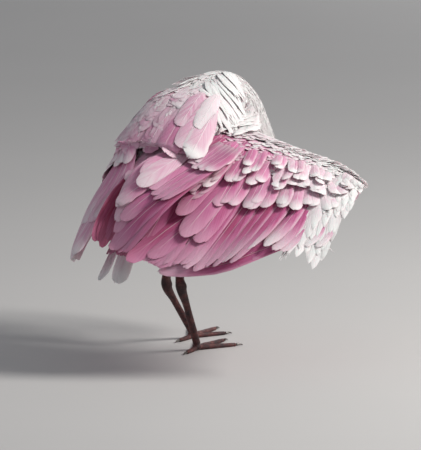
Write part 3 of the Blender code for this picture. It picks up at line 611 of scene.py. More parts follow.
# feathers of the body
def bodyCoat(name, settings):
    t, turn, size, rng = bodyRows(settings)
    keep = settings["where"](t, turn % 1.0) if "where" in settings else np.ones(len(t), bool)
    t, turn, size = t[keep], turn[keep], size[keep]
    n = len(t)
    size = size * (1 + jitter(rng, n, settings.get("uneven", 0.10)))
    ahead = bodySurface(t - 0.1, turn)
    reach = np.linalg.norm(ahead - bodySurface(t, turn), axis=1) / 0.1
    reach = np.maximum(reach, 0.010)
    endT = t - np.minimum(size / reach, 2.4)
    girth = np.linalg.norm(bodySurface(t, turn + 0.01) - bodySurface(t, turn - 0.01), axis=1) / 0.02
    yaw = jitter(rng, n, settings.get("yaw", 0.12)) + settings.get("drift", lambda a, b: 0.0)(t, turn)
    endTurn = turn + yaw * size / girth
    lift = settings["lift"](t, turn % 1.0) if callable(settings.get("lift")) else settings.get("lift", 0.0)
    tract = {
        "vane": settings["vane"], "seed": settings["seed"] + 100, "surface": bodySurface, "side": -1,
        "a0": t, "b0": turn, "a1": np.clip(endT, -0.4, 13.0), "b1": endTurn,
        "rootHeight": settings["rootHeight"], "tipHeight": settings.get("tipHeight", 0.0) + jitter(rng, n, 0.00025),
        "width": size * settings["slim"] * (1 + jitter(rng, n, 0.10)), "lift": lift, "camber": settings.get("camber", 0.22),
        "sway": jitter(rng, n, 0.05) * size / girth, "twist": jitter(rng, n, settings.get("twist", 0.14)),
        "ragged": settings.get("ragged", 0.12), "thick": settings.get("thick", 0.0005), "splits": settings.get("splits", 0.03),
        "clump": settings.get("furrows", 0.0) * furrow(t, turn),
        "rose": np.clip(markBody(t, turn % 1.0) + jitter(rng, n, 0.025), 0, 1), "pale": settings.get("pale", 0.5),
        "bakeU": 0.02 + 0.96 * (turn % 1.0), "bakeV": 0.02 + 0.96 * np.clip(t / 13.0, 0, 1),
    }
    return layFeathers(name, tract, bodyFeather)


def underWings(t, turn):  # hidden by the folded wing, the shoulder feathers and the open wing's root
    left = (t > 1.2) & (t < 4.6) & ((turn < 0.11) | (turn > 0.97))
    return left


neckCoat = {
    "vane": "hair", "seed": 11, "start": 12.75, "end": 6.4, "way": -1, "stations": [6.5, 8, 10, 12.0, 12.75],
    "lengths": [0.030, 0.025, 0.019, 0.013, 0.008], "spread": 0.150, "pitch": 0.150, "slim": 0.22, "rootHeight": -0.0026,
    "tipHeight": -0.0003, "yaw": 0.08, "ragged": 0.05, "pale": 0.2, "uneven": 0.14, "lift": 0.0, "thick": 0.0003,
    "furrows": 0.0006, "camber": 0.14, "twist": 0.03,
}
breastCoat = {
    "vane": "body", "seed": 12, "start": 7.0, "end": 3.2, "way": -1, "stations": [3, 7], "lengths": [0.034, 0.032],
    "spread": 0.27, "pitch": 0.20, "slim": 0.46, "rootHeight": -0.0040, "tipHeight": 0.0000, "yaw": 0.10, "ragged": 0.12,
    "pale": 0.4, "uneven": 0.12, "lift": 0.0, "furrows": 0.0008, "camber": 0.24, "twist": 0.06,
    "where": lambda t, turn: ~underWings(t, turn),
}
rumpCoat = {
    "vane": "body", "seed": 13, "start": 3.3, "end": -0.1, "way": -1, "stations": [0, 3], "lengths": [0.034, 0.034],
    "spread": 0.30, "pitch": 0.22, "slim": 0.46, "rootHeight": -0.0040, "tipHeight": 0.0000, "yaw": 0.10, "ragged": 0.12,
    "pale": 0.45, "uneven": 0.12, "lift": 0.0, "furrows": 0.0006, "camber": 0.24, "twist": 0.06,
    "where": lambda t, turn: ~underWings(t, turn),
}
mantleCoat = {  # white feathers of the neck's base, combed back over the shoulders
    "vane": "plume", "seed": 14, "start": 7.9, "end": 4.8, "way": -1, "stations": [4.8, 6, 7.9],
    "lengths": [0.048, 0.050, 0.038], "spread": 0.17, "pitch": 0.15, "slim": 0.28, "rootHeight": -0.0018, "tipHeight": 0.0002,
    "yaw": 0.10, "ragged": 0.12, "pale": 0.5, "uneven": 0.16, "twist": 0.04, "furrows": 0.0012, "camber": 0.14, "lift": 0.0,
    "where": lambda t, turn: np.abs(turn - 0.25) < 0.19,
}
loosePlumes = {  # a few long curved ones stand off the back
    "vane": "plume", "seed": 16, "start": 6.7, "end": 5.9, "way": -1, "stations": [5.2, 6.5], "lengths": [0.050, 0.044],
    "spread": 0.30, "pitch": 0.20, "slim": 0.17, "rootHeight": 0.0010, "tipHeight": 0.0050, "yaw": 0.16, "ragged": 0.05,
    "pale": 0.7, "uneven": 0.22, "twist": 0.35, "camber": 0.35, "lift": 0.14,
    "where": lambda t, turn: np.abs(turn - 0.19) < 0.055,
}
sideCoat = {  # long white feathers from the side of the breast, over the root of the open wing
    "vane": "plume", "seed": 15, "start": 7.6, "end": 5.6, "way": -1, "stations": [5, 7.6],
    "lengths": [0.050, 0.046], "spread": 0.19, "pitch": 0.15, "slim": 0.32, "rootHeight": 0.0000, "tipHeight": 0.0120,
    "yaw": 0.10, "drift": lambda t, turn: 0.9, "ragged": 0.14, "pale": 0.6, "uneven": 0.16, "twist": 0.08, "splits": 0.10,
    "camber": 0.16, "lift": 0.0,
    "where": lambda t, turn: np.abs(turn - 0.385) < 0.105,
}
bodyCoat("neck_feathers", neckCoat)
bodyCoat("breast_feathers", breastCoat)
bodyCoat("rump_feathers", rumpCoat)
bodyCoat("mantle_plumes", mantleCoat)
bodyCoat("loose_plumes", loosePlumes)
bodyCoat("side_plumes", sideCoat)


def thighCoat(name, leg, seed):
    rng = np.random.default_rng(seed)
    surface = legSurface(leg)
    t, turn = [], []
    for row in range(34):
        at = 0.45 + row * 0.079
        n = int(np.interp(at, [0, 1, 2, 3], [34, 38, 34, 26]))
        t.append(np.full(n, at) + jitter(rng, n, 0.03))
        turn.append((np.arange(n) + 0.5 * (row % 2) + jitter(rng, n, 0.2)) / n)
    t, turn = np.concatenate(t), np.concatenate(turn)
    n = len(t)
    size = np.interp(t, [0, 1.5, 2.6, 3], [0.026, 0.021, 0.014, 0.010]) * (1 + jitter(rng, n, 0.12))
    reach = np.linalg.norm(surface(t + 0.1, turn) - surface(t, turn), axis=1) / 0.1
    tract = {
        "vane": "small", "seed": seed, "surface": surface, "side": -1, "a0": t, "b0": turn,
        "a1": np.minimum(t + size / reach, 3.40), "b1": turn + jitter(rng, n, 0.02),
        "rootHeight": np.interp(t, [2.6, 3.0], [-0.0034, -0.0008]), "tipHeight": 0.0002, "width": size * 0.40, "ragged": 0.10, "twist": jitter(rng, n, 0.08), "thick": 0.0004, "camber": 0.4,
        "clump": 0.0005 * np.sin(turn * 50 + 2 * np.sin(t * 5)),
        "rose": np.clip(0.30 + 0.12 * (3 - t) / 3 + jitter(rng, n, 0.03), 0, 1), "pale": 0.45,
        "bakeU": 0.02 + 0.96 * (turn % 1.0), "bakeV": 0.02 + 0.3 * t,
    }
    return layFeathers(name, tract, bodyFeather)


thighCoat("left_thigh_feathers", leftLeg, 21)
thighCoat("right_thigh_feathers", rightLeg, 22)


# sheets of large feathers
def featherRow(surface, side, rows, seed):
    # rows: one dictionary for each row of feathers, with from and to places and how the values change across it
    rng = np.random.default_rng(seed)
    table = {k: [] for k in ("a0", "b0", "a1", "b1", "width", "rise0", "rise1", "lift", "rose", "pale", "roll", "ragged",
                             "twist", "sway", "bowA", "camber", "splits")}
    for row in rows:
        n = row["count"]
        u = np.linspace(0, 1, n) if row.get("ends", True) else (np.arange(n) + 0.5) / n
        u = u + jitter(rng, n, row.get("shuffle", 0.0) / max(n, 1))
        at = lambda key, default=0.0: np.interp(u, np.linspace(0, 1, len(np.atleast_1d(row.get(key, default)))),
                                                 np.atleast_1d(row.get(key, default)))
        along = row.get("swap", False)  # whether the first place runs along the feather
        across0 = at("across", (0.0, 1.0)) if "across" in row else u
        across1 = across0 + at("slant") + jitter(rng, n, row.get("stray", 0.0))
        root, tip = at("root"), at("tip") + jitter(rng, n, row.get("uneven", 0.0))
        a0, b0, a1, b1 = (root, across0, tip, across1) if along else (across0, root, across1, tip)
        for key, values in (("a0", a0), ("b0", b0), ("a1", a1), ("b1", b1)):
            table[key].append(values)
        for key, default in (("width", 0.02), ("rise0", 0.0), ("rise1", 0.0), ("lift", 0.0), ("rose", 0.4), ("pale", 0.4),
                             ("roll", 0.0), ("ragged", 0.03), ("camber", 0.16), ("splits", 0.012)):
            table[key].append(at(key, default))
        table["twist"].append(jitter(rng, n, row.get("twist", 0.05)))
        bow = at("bow") + jitter(rng, n, row.get("bend", 0.0))
        table["sway"].append(bow * along)
        table["bowA"].append(bow * (not along))
    joined = {k: np.concatenate(v) for k, v in table.items()}
    n = len(joined["a0"])
    joined["rose"] = np.clip(joined["rose"] + jitter(rng, n, 0.03), 0, 1)
    joined["pale"] = joined["pale"] * (1 + jitter(rng, n, 0.15))
    joined.update(surface=surface, side=side, seed=seed + 500, rootHeight=joined.pop("rise0"), tipHeight=joined.pop("rise1"))
    joined["bakeU"] = 0.02 + 0.96 * np.clip(joined["a0"] / max(1.0, joined["a0"].max()), 0, 1)
    joined["bakeV"] = 0.02 + 0.96 * np.clip(joined["b0"] / max(1.0, joined["b0"].max()), 0, 1)
    return joined


def rightWingTop(u, v):
    p = rightWingSurface(u, v)
    return p + np.array((0.0, 0.0, 1.0)) * rightWingHalf(u, np.clip(v, 0, 1))[..., None]


def rightWingUnder(u, v):
    p = rightWingSurface(u, v)
    return p - np.array((0.0, 0.0, 1.0)) * rightWingHalf(u, np.clip(v, 0, 1))[..., None]


def leftWingTop(t, share):
    p = leftWingSurface(t, share)
    q = leftWingSurface(t, share + 0.01) - leftWingSurface(t, share - 0.01)
    r = leftWingSurface(t + 0.01, share) - leftWingSurface(t - 0.01, share)
    return p + unit(np.cross(r, q)) * leftWingHalf(t, share)[..., None]


rightSecondaries = {"count": 15, "across": (0.26, 0.87), "root": 0.36, "tip": (1.0, 0.99, 0.98, 0.95), "slant": (-0.02, 0.02, 0.07, 0.11),
                    "width": (0.028, 0.026, 0.025), "rise0": 0.001, "rise1": (0.0030, 0.0045), "roll": (-0.24, -0.30),
                    "rose": (0.80, 0.78, 0.74, 0.60), "pale": (0.40, 0.55, 0.9), "ragged": 0.03, "camber": 0.30, "uneven": 0.020,
                    "bow": (0.02, 0.05, 0.06), "shuffle": 0.25, "twist": 0.05, "stray": 0.006}
innerSecondaries = {"count": 8, "across": (0.02, 0.28), "root": 0.36, "tip": (0.97, 1.0), "slant": (0.0, -0.02),
                    "width": 0.033, "rise0": 0.001, "rise1": 0.0020, "roll": -0.20, "rose": (0.74, 0.78), "pale": 0.30,
                    "ragged": 0.03, "camber": 0.24, "uneven": 0.012, "bow": 0.01, "twist": 0.04}
rightPrimaries = {"count": 10, "ends": False, "across": (0.08, 0.94), "root": 0.05, "tip": (0.93, 0.99), "slant": (0.0, 0.04),
                  "width": (0.024, 0.020), "rise0": 0.003, "rise1": 0.001, "roll": 0.20, "rose": (0.72, 0.64, 0.40, 0.08, 0.02),
                  "pale": (0.5, 0.6, 0.9), "ragged": 0.03, "camber": 0.16, "uneven": 0.03, "twist": 0.04}
rightCoverts = [
    {"count": 19, "across": (0.04, 0.84), "root": 0.37, "tip": (0.655, 0.665, 0.66, 0.65), "slant": (0.0, 0.06, 0.14, 0.15),
     "width": (0.025, 0.024, 0.021), "rise0": 0.000, "rise1": 0.0055, "lift": 0.04, "roll": -0.16,
     "rose": (0.70, 0.66, 0.46, 0.22), "pale": (0.4, 0.7, 1.0), "ragged": 0.03, "uneven": 0.024, "shuffle": 0.5, "twist": 0.10,
     "stray": 0.010, "camber": 0.28, "bow": 0.01},
    {"count": 21, "across": (0.03, 0.86), "root": 0.30, "tip": (0.545, 0.545, 0.535, 0.51), "slant": (0.0, 0.05, 0.12, 0.14),
     "width": (0.022, 0.020), "rise0": 0.000, "rise1": 0.0075, "lift": 0.07, "roll": -0.14, "rose": (0.68, 0.50, 0.32, 0.16),
     "pale": (0.7, 0.9, 1.0), "ragged": 0.04, "uneven": 0.028, "shuffle": 0.7, "twist": 0.18, "stray": 0.016, "camber": 0.30},
    {"count": 25, "across": (0.02, 0.90), "root": 0.23, "tip": (0.44, 0.44, 0.43, 0.40), "slant": (0.0, 0.05, 0.10, 0.10),
     "width": 0.017, "rise0": 0.000, "rise1": 0.0085, "lift": 0.10, "roll": -0.10, "rose": (0.72, 0.50, 0.28, 0.12),
     "pale": (0.8, 1.0, 1.0), "ragged": 0.05, "uneven": 0.030, "shuffle": 0.8, "twist": 0.24, "stray": 0.020, "camber": 0.30},
]
lesserRows = {"first": 0.335, "last": 0.010, "rows": 14, "count": 30, "reach": 0.092, "width": 0.0150}


def makeLesserCoverts():
    rows = []
    for i, v in enumerate(np.linspace(lesserRows["first"], lesserRows["last"], lesserRows["rows"])):
        edge = smooth(0.22, 0.10, v)  # the edge of the wing is paler than the patch behind it
        red = 1.0 - 0.75 * edge
        rows.append({"count": lesserRows["count"] + i % 2, "across": (-0.03, 0.97), "root": v, "tip": v + lesserRows["reach"],
                     "slant": (0.0, 0.04, 0.07, 0.08), "width": lesserRows["width"], "rise0": -0.001, "rise1": 0.0026,
                     "lift": 0.03, "roll": -0.05, "rose": (0.92 * red, 0.84 * red, 0.52 * red, 0.20 * red, 0.05),
                     "pale": (0.5, 0.8, 1.0, 1.0), "ragged": 0.07, "splits": 0.05, "uneven": 0.014, "shuffle": 0.7, "twist": 0.12,
                     "stray": 0.018, "camber": 0.16})
    tract = featherRow(rightWingTop, -1, rows, 34)
    tract["vane"] = "body"
    layFeathers("right_lesser_coverts", tract, wingFeather)
    rows = []
    for root, tip, up in ((-0.05, 0.10, 0.044), (-0.02, 0.16, 0.036), (0.01, 0.22, 0.026)):  # white, over the wing's root
        rows.append({"count": 8, "across": (-0.08, 0.11), "root": root, "tip": tip, "slant": (-0.02, 0.01), "width": 0.019,
                     "rise0": (up, up, 0.8 * up, 0.4 * up), "rise1": 0.007, "lift": 0.0, "rose": 0.02, "pale": 0.9,
                     "ragged": 0.18, "splits": 0.16, "uneven": 0.03, "shuffle": 0.5, "twist": 0.08, "stray": 0.02, "camber": 0.2,
                     "bend": 0.01})
    tract = featherRow(rightWingTop, -1, rows, 38)
    tract["vane"] = "plume"
    layFeathers("wing_root_plumes", tract, bodyFeather)


def makeWristFringe():  # pale feathers along the wing's edge, and hanging in layers round its outer end
    rows = []
    for root, height, lift in ((0.12, 0.003, 0.06), (0.09, 0.004, 0.10), (0.06, 0.004, 0.14), (0.03, 0.003, 0.18)):
        rows.append({"count": 46, "across": (0.06, 0.93), "root": root, "tip": root - 0.045, "slant": (0.05, 0.08), "width": 0.0085,
                     "rise0": (0.001, 0.001, 0.001, 0.004), "rise1": (height, height, height + 0.003, height + 0.009),
                     "lift": (lift * 0.6, lift, lift * 0.8), "rose": (0.24, 0.16, 0.10, 0.04),
                     "pale": 0.9, "ragged": 0.10, "uneven": 0.012, "shuffle": 0.6, "twist": 0.20, "stray": 0.02, "camber": 0.14})
    tract = featherRow(rightWingTop, -1, rows, 36)
    tract["vane"] = "small"
    layFeathers("right_wing_edge", tract, wingFeather)
    rows = []
    for i, inner in enumerate((0.975, 0.94, 0.905, 0.87)):
        rows.append({"swap": True, "count": 15 - i, "across": (0.0, 0.74 - 0.05 * i), "root": inner,
                     "tip": (inner + 0.085, inner + 0.085, inner + 0.08, inner + 0.06, inner + 0.04), "slant": (0.24, 0.36, 0.42, 0.40),
                     "width": (0.015, 0.019, 0.022), "rise0": (0.004, 0.001), "rise1": (0.006, 0.001 + 0.0007 * i), "lift": 0.01,
                     "rose": 0.03 + 0.04 * i, "pale": 1.0, "ragged": 0.05, "splits": 0.02, "uneven": 0.010, "shuffle": 0.4,
                     "twist": 0.05, "stray": 0.015, "camber": 0.11, "roll": -0.06})
    tract = featherRow(rightWingTop, -1, rows, 37)
    tract["vane"] = "plume"
    layFeathers("right_wrist_fringe", tract, wingFeather)
    rows = [{"count": 9, "across": (0.84, 0.98), "root": 0.88, "tip": (1.01, 1.035, 1.02), "slant": 0.03, "width": 0.0024,
             "rise0": -0.003, "rise1": -0.003, "rose": 0.03, "pale": 1.0, "uneven": 0.02, "shuffle": 1.0, "twist": 0.2,
             "stray": 0.03, "camber": 0.3}]
    tract = featherRow(rightWingTop, -1, rows, 39)
    tract["vane"] = "hair"
    layFeathers("right_wing_filaments", tract, wingFeather)


def makeRightWing():
    secondaries = featherRow(rightWingSurface, -1, [rightSecondaries, innerSecondaries], 31)
    secondaries["vane"] = "flight"
    piece = layFeathers("right_secondaries", secondaries, flightFeather)
    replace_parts(piece, "wing_right_secondaries")
    primaries = featherRow(handSurface, 1, [rightPrimaries], 32)
    primaries["vane"] = "flight"
    piece = layFeathers("right_primaries", primaries, flightFeather)
    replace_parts(piece, "wing_right_primaries")
    coverts = featherRow(rightWingTop, -1, rightCoverts, 33)
    coverts["vane"] = "covert"
    layFeathers("right_greater_coverts", coverts, wingFeather)
    makeLesserCoverts()
    makeWristFringe()
    under = []
    for v, reach in ((0.52, 0.26), (0.40, 0.22), (0.28, 0.18), (0.17, 0.15), (0.08, 0.13), (0.02, 0.11)):
        under.append({"count": 22, "across": (0.03, 0.98), "root": v, "tip": v + reach, "width": 0.022, "rise0": -0.001,
                      "rise1": 0.0016, "roll": 0.08, "rose": (0.56, 0.46, 0.38), "pale": 0.4, "ragged": 0.05, "uneven": 0.012,
                      "shuffle": 0.4, "stray": 0.01, "camber": 0.22})
    under = featherRow(rightWingUnder, 1, under, 35)
    under["vane"] = "covert"
    layFeathers("right_underwing_coverts", under, wingFeather)


makeRightWing()


def makeLeftWing():
    rows = [{"swap": True, "count": 13, "across": (0.10, 0.96), "root": (2.2, 2.4), "tip": (4.5, 5.6), "width": (0.022, 0.028),
             "rise0": 0.0, "rise1": 0.001, "roll": 0.10, "rose": (0.34, 0.46), "pale": 0.45, "ragged": 0.02, "camber": 0.16,
             "uneven": 0.16, "shuffle": 0.2}]
    secondaries = featherRow(leftWingSurface, 1, rows, 41)
    secondaries["vane"] = "flight"
    piece = layFeathers("left_secondaries", secondaries, flightFeather)
    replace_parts(piece, "wing_left_secondaries")
    rows = [{"swap": True, "count": 10, "across": (0.06, 0.94), "root": (3.9, 4.2), "tip": (6.35, 6.98, 6.70), "width": (0.017, 0.019),
             "rise0": -0.001, "rise1": 0.0, "roll": 0.16, "rose": (0.30, 0.42), "pale": 0.6, "ragged": 0.02, "camber": 0.16,
             "uneven": 0.10, "shuffle": 0.1}]
    primaries = featherRow(leftWingSurface, 1, rows, 42)
    primaries["vane"] = "flight"
    piece = layFeathers("left_primaries", primaries, flightFeather)
    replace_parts(piece, "wing_left_primaries")
    rows = [
        {"swap": True, "count": 16, "across": (0.04, 0.97), "root": (1.7, 1.9), "tip": (3.3, 3.6), "width": 0.022, "rise0": 0.0,
         "rise1": 0.003, "roll": 0.10, "rose": (0.36, 0.46), "pale": 0.6, "ragged": 0.03, "uneven": 0.10, "shuffle": 0.4, "camber": 0.22},
        {"swap": True, "count": 17, "across": (0.03, 0.98), "root": (1.2, 1.4), "tip": (2.6, 2.9), "width": 0.019, "rise0": 0.0,
         "rise1": 0.003, "roll": 0.10, "rose": (0.42, 0.55), "pale": 0.6, "ragged": 0.03, "uneven": 0.10, "shuffle": 0.4, "camber": 0.22},
        {"swap": True, "count": 19, "across": (0.02, 0.98), "root": (1.0, 1.2), "tip": (2.1, 2.4), "width": 0.017, "rise0": 0.0,
         "rise1": 0.003, "roll": 0.10, "rose": (0.55, 0.72), "pale": 0.6, "ragged": 0.03, "uneven": 0.08, "shuffle": 0.4, "camber": 0.22},
    ]
    coverts = featherRow(leftWingTop, 1, rows, 43)
    coverts["vane"] = "covert"
    layFeathers("left_greater_coverts", coverts, wingFeather)
    rows = []
    for i, t in enumerate(np.linspace(1.55, -0.10, 19)):
        front = smooth(0.5, 0.0, t)
        rows.append({"swap": True, "count": 21 + i % 2, "across": (0.02, 0.98), "root": t, "tip": t + 0.55, "width": 0.0125,
                     "rise0": -0.001, "rise1": 0.0018, "lift": 0.015, "roll": 0.05,
                     "rose": tuple(r * (1 - 0.8 * front) for r in (0.55, 0.85, 0.98, 0.88, 0.62)), "pale": 0.40, "ragged": 0.06,
                     "splits": 0.03, "uneven": 0.05, "shuffle": 0.5, "twist": 0.10, "stray": 0.012, "camber": 0.26})
    lesser = featherRow(leftWingTop, 1, rows, 44)
    lesser["vane"] = "body"
    layFeathers("left_lesser_coverts", lesser, wingFeather)


makeLeftWing()


def singleFeathers(surface, side, listed, seed, scaleU, scaleV):
    columns = [np.array(c, float) for c in zip(*[(f[0][0], f[0][1], f[1][0], f[1][1], *f[2:]) for f in listed])]
    keys = ("a0", "b0", "a1", "b1", "width", "rootHeight", "tipHeight", "rose", "pale", "ragged")
    tract = dict(zip(keys, columns))
    tract.update(surface=surface, side=side, seed=seed, roll=-0.05, camber=0.20, vane="flight", splits=0.02)
    tract["bakeU"] = 0.05 + 0.9 * np.clip(tract["a0"] / scaleU, 0, 1)
    tract["bakeV"] = 0.05 + 0.9 * np.clip(tract["b0"] / scaleV, 0, 1)
    return tract


def shoulderSurface(turnFrom, turnTo, back, lift, flare):
    def surface(u, v):
        t = 5.9 + (back - 5.9) * v
        turn = (turnFrom + (turnTo - turnFrom) * u) / 360.0
        return bodySurface(t, turn, 0.0045 + lift * v + flare * np.clip(u, 0, 1) * (0.40 + 0.60 * np.clip(v, 0, 1) ** 2))
    return surface


downyRows = {"first": 0.80, "last": -0.16, "rows": 22, "reach": 0.19, "width": 0.0095}
broadRows = {"first": 0.70, "last": 0.02, "rows": 8, "reach": 0.34, "width": 0.030}


def makeBackFeathers(name, node, surface, side, across, count, seed):  # a soft base, and broad soft feathers over it
    rows = []
    for i, root in enumerate(np.linspace(downyRows["first"], downyRows["last"], downyRows["rows"])):
        end = across[1] - 0.20 * smooth(0.30, 0.75, root)  # the lower corner is rounded
        rows.append({"count": count * 2 + i % 2, "across": (across[0], end), "root": root, "tip": root + downyRows["reach"],
                     "width": downyRows["width"], "rise0": -0.0026 - 0.012 * smooth(0.10, -0.16, root),
                     "rise1": -0.0006 - 0.005 * smooth(0.04, -0.16, root), "rose": 0.16 + 0.26 * max(0.0, root + 0.1),
                     "pale": 0.4, "ragged": 0.06, "uneven": 0.03, "shuffle": 0.5, "twist": 0.08, "stray": 0.03, "camber": 0.25})
    tract = featherRow(surface, side, rows, seed)
    waves = np.sin(tract["a0"] * 17 + 3 * np.sin(tract["b0"] * 5)) + np.sin(tract["b0"] * 23 + tract["a0"] * 9)
    tract["clump"] = 0.0007 * waves
    tract["vane"] = "small"
    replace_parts(layFeathers(name + "_down", tract, bodyFeather), node)
    rows = []
    for i, root in enumerate(np.linspace(broadRows["first"], broadRows["last"], broadRows["rows"])):
        end = across[1] * 0.95 - 0.22 * smooth(0.20, 0.65, root)
        rows.append({"count": count // 2 + i % 2, "across": (across[0], end), "root": root,
                     "tip": root + broadRows["reach"], "width": broadRows["width"],
                     "rise0": -0.0020 - 0.008 * smooth(0.12, 0.02, root), "rise1": 0.0006,
                     "roll": -0.03 * side, "rose": 0.26 + 0.26 * max(0.0, root), "pale": 0.10, "ragged": 0.06, "splits": 0.01,
                     "uneven": 0.07, "shuffle": 0.6, "twist": 0.04, "stray": 0.03, "camber": 0.10})
    tract = featherRow(surface, side, rows, seed + 5)
    tract["vane"] = "body"
    layFeathers(name, tract, bodyFeather)


# the large feathers of the right shoulder: from, to, width, height at root and tip, rose, pale, how ragged
rightScapulars = [
    ((-0.13, 0.46), (-0.20, 1.14), 0.038, 0.000, 0.001, 0.34, 0.1, 0.08),
    ((0.04, 0.46), (0.00, 1.10), 0.038, 0.000, 0.001, 0.36, 0.1, 0.08),
    ((0.16, 0.46), (0.12, 1.12), 0.038, 0.001, 0.002, 0.38, 0.1, 0.08),
    ((0.30, 0.50), (0.24, 1.06), 0.030, 0.002, 0.004, 0.50, 0.2, 0.04),
    ((0.46, 0.44), (0.44, 1.08), 0.032, 0.003, 0.005, 0.52, 0.2, 0.04),
    ((0.72, 0.26), (0.64, 0.98), 0.034, 0.004, 0.008, 0.42, 0.3, 0.05),
    ((0.40, 0.16), (0.38, 0.70), 0.030, 0.003, 0.005, 0.36, 0.2, 0.06),
    # this feather's whitened end (pale 1.5) is painted sunlight on the shoulder; its rose is the feather's own pink
    ((0.94, 0.38), (0.91, 1.04), 0.040, 0.006, 0.011, 0.30, 1.5, 0.09),
    ((0.84, 0.14), (0.78, 0.66), 0.028, 0.006, 0.008, 0.16, 0.3, 0.12),
]


def makeShoulders():
    leftSurface, rightSurface = shoulderSurface(86, 44, 2.6, 0.012, 0.023), shoulderSurface(98, 136, 3.1, 0.014, 0.007)
    makeBackFeathers("left_scapulars", "scapulars_left", leftSurface, 1, (-0.10, 1.0), 12, 51)
    makeBackFeathers("right_mantle_feathers", "scapulars_right", rightSurface, -1, (-0.25, 0.85), 10, 71)
    tract = singleFeathers(rightSurface, -1, rightScapulars, 53, 1.1, 1.1)
    layFeathers("right_scapulars", tract, flightFeather)


makeShoulders()


longTertials = {"count": 7, "across": (0.02, 0.98), "root": 0.0, "tip": (0.97, 1.0, 1.0), "width": 0.034, "rise0": 0.0, "rise1": 0.002,
                "roll": -0.14, "rose": (0.58, 0.68, 0.76), "pale": (0.4, 0.3, 0.25), "ragged": 0.02, "uneven": 0.02, "camber": 0.22}
innerRow = {"count": 6, "across": (0.0, 1.0), "root": 0.0, "tip": (0.70, 0.62, 0.58), "width": 0.028, "rise0": 0.001, "rise1": 0.005,
            "roll": -0.12, "rose": (0.44, 0.54, 0.64), "pale": 0.3, "ragged": 0.03, "uneven": 0.04, "shuffle": 0.3, "camber": 0.24,
            "lift": 0.03, "twist": 0.08}
# the near-carmine rose of the left tertials and their inner row is painted shade for the shadowed hollow between the
# folded left wing and the rump
leftTertials = {"count": 6, "across": (0.04, 0.98), "root": 0.0, "tip": (0.95, 1.0, 0.98), "width": 0.022, "rise0": 0.0, "rise1": 0.001,
                "roll": 0.09, "rose": (0.98, 0.90), "pale": 0.12, "ragged": 0.02, "uneven": 0.03, "camber": 0.18}
leftInnerRow = {"count": 5, "across": (0.06, 0.95), "root": -0.05, "tip": 0.62, "width": 0.020, "rise0": 0.001, "rise1": 0.003,
                "roll": 0.09, "rose": 0.85, "pale": 0.15, "ragged": 0.04, "uneven": 0.05, "camber": 0.20}
softRow = {"count": 5, "across": (0.04, 0.96), "root": -0.20, "tip": (0.44, 0.40), "width": 0.028, "rise0": 0.004, "rise1": 0.006,
           "rose": 0.40, "pale": 0.15, "ragged": 0.10, "uneven": 0.04, "shuffle": 0.4, "camber": 0.14, "twist": 0.06}
rootRow = {"count": 6, "across": (0.50, 1.14), "root": -0.08, "tip": (0.20, 0.27), "width": 0.022, "rise0": 0.004, "rise1": 0.009,
           "rose": (0.50, 0.60), "pale": 0.6, "ragged": 0.05, "uneven": 0.03, "shuffle": 0.4, "camber": 0.22, "twist": 0.08}
# single long feathers that lie over the others: from, to, width, height at root and tip, rose, pale, how ragged
overTertials = [
    ((0.10, -0.06), (0.00, 0.42), 0.036, 0.006, 0.012, 0.38, 0.15, 0.08),
    ((0.42, 0.28), (0.00, 1.00), 0.026, 0.004, 0.008, 0.50, 0.5, 0.12),
    ((0.24, 0.10), (0.16, 0.735), 0.029, 0.006, 0.012, 0.42, 0.4, 0.03),
    ((1.12, 0.28), (0.556, 1.035), 0.034, 0.003, 0.006, 0.72, 0.35, 0.02),
    ((0.70, 0.25), (0.34, 0.90), 0.030, 0.003, 0.007, 0.62, 0.3, 0.02),
]
overWing = [
    ((0.40, 0.50), (-0.02, 1.00), 0.036, 0.003, 0.004, 0.76, 0.25, 0.02),
    ((0.44, 0.50), (0.12, 0.97), 0.034, 0.004, 0.005, 0.76, 0.25, 0.02),
    ((0.38, 0.44), (0.364, 0.87), 0.032, 0.005, 0.008, 0.74, 0.3, 0.02),
    ((0.33, 0.40), (0.267, 0.856), 0.036, 0.007, 0.011, 0.70, 0.3, 0.02),
    ((0.22, 0.34), (0.17, 0.76), 0.033, 0.009, 0.013, 0.66, 0.3, 0.02),
    ((0.08, 0.32), (0.155, 0.635), 0.028, 0.013, 0.017, 0.55, 0.4, 0.02),
    ((-0.03, 0.32), (0.048, 0.655), 0.030, 0.014, 0.018, 0.50, 0.4, 0.02),
]


def makeTertials():
    tract = featherRow(tertialSurface, -1, [longTertials, innerRow], 61)
    tract["vane"] = "flight"
    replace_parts(layFeathers("right_tertials", tract, flightFeather), "tertials_right")
    tract = featherRow(tertialSurfaceLeft, -1, [leftTertials, leftInnerRow], 64)
    tract["vane"] = "flight"
    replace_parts(layFeathers("left_tertials", tract, flightFeather), "tertials_left")
    tract = featherRow(tertialSurface, -1, [rootRow], 66)
    tract["vane"] = "covert"
    layFeathers("tertial_coverts", tract, wingFeather)
    tract = featherRow(tertialSurfaceLeft, 1, [softRow], 65)
    tract["vane"] = "covert"
    layFeathers("rump_side_feathers", tract, bodyFeather)
    layFeathers("over_tertials", singleFeathers(tertialSurface, -1, overTertials, 62, 1.2, 1.0), flightFeather)
    layFeathers("inner_coverts", singleFeathers(rightWingSurface, -1, overWing, 63, 1.0, 1.0), flightFeather)


makeTertials()


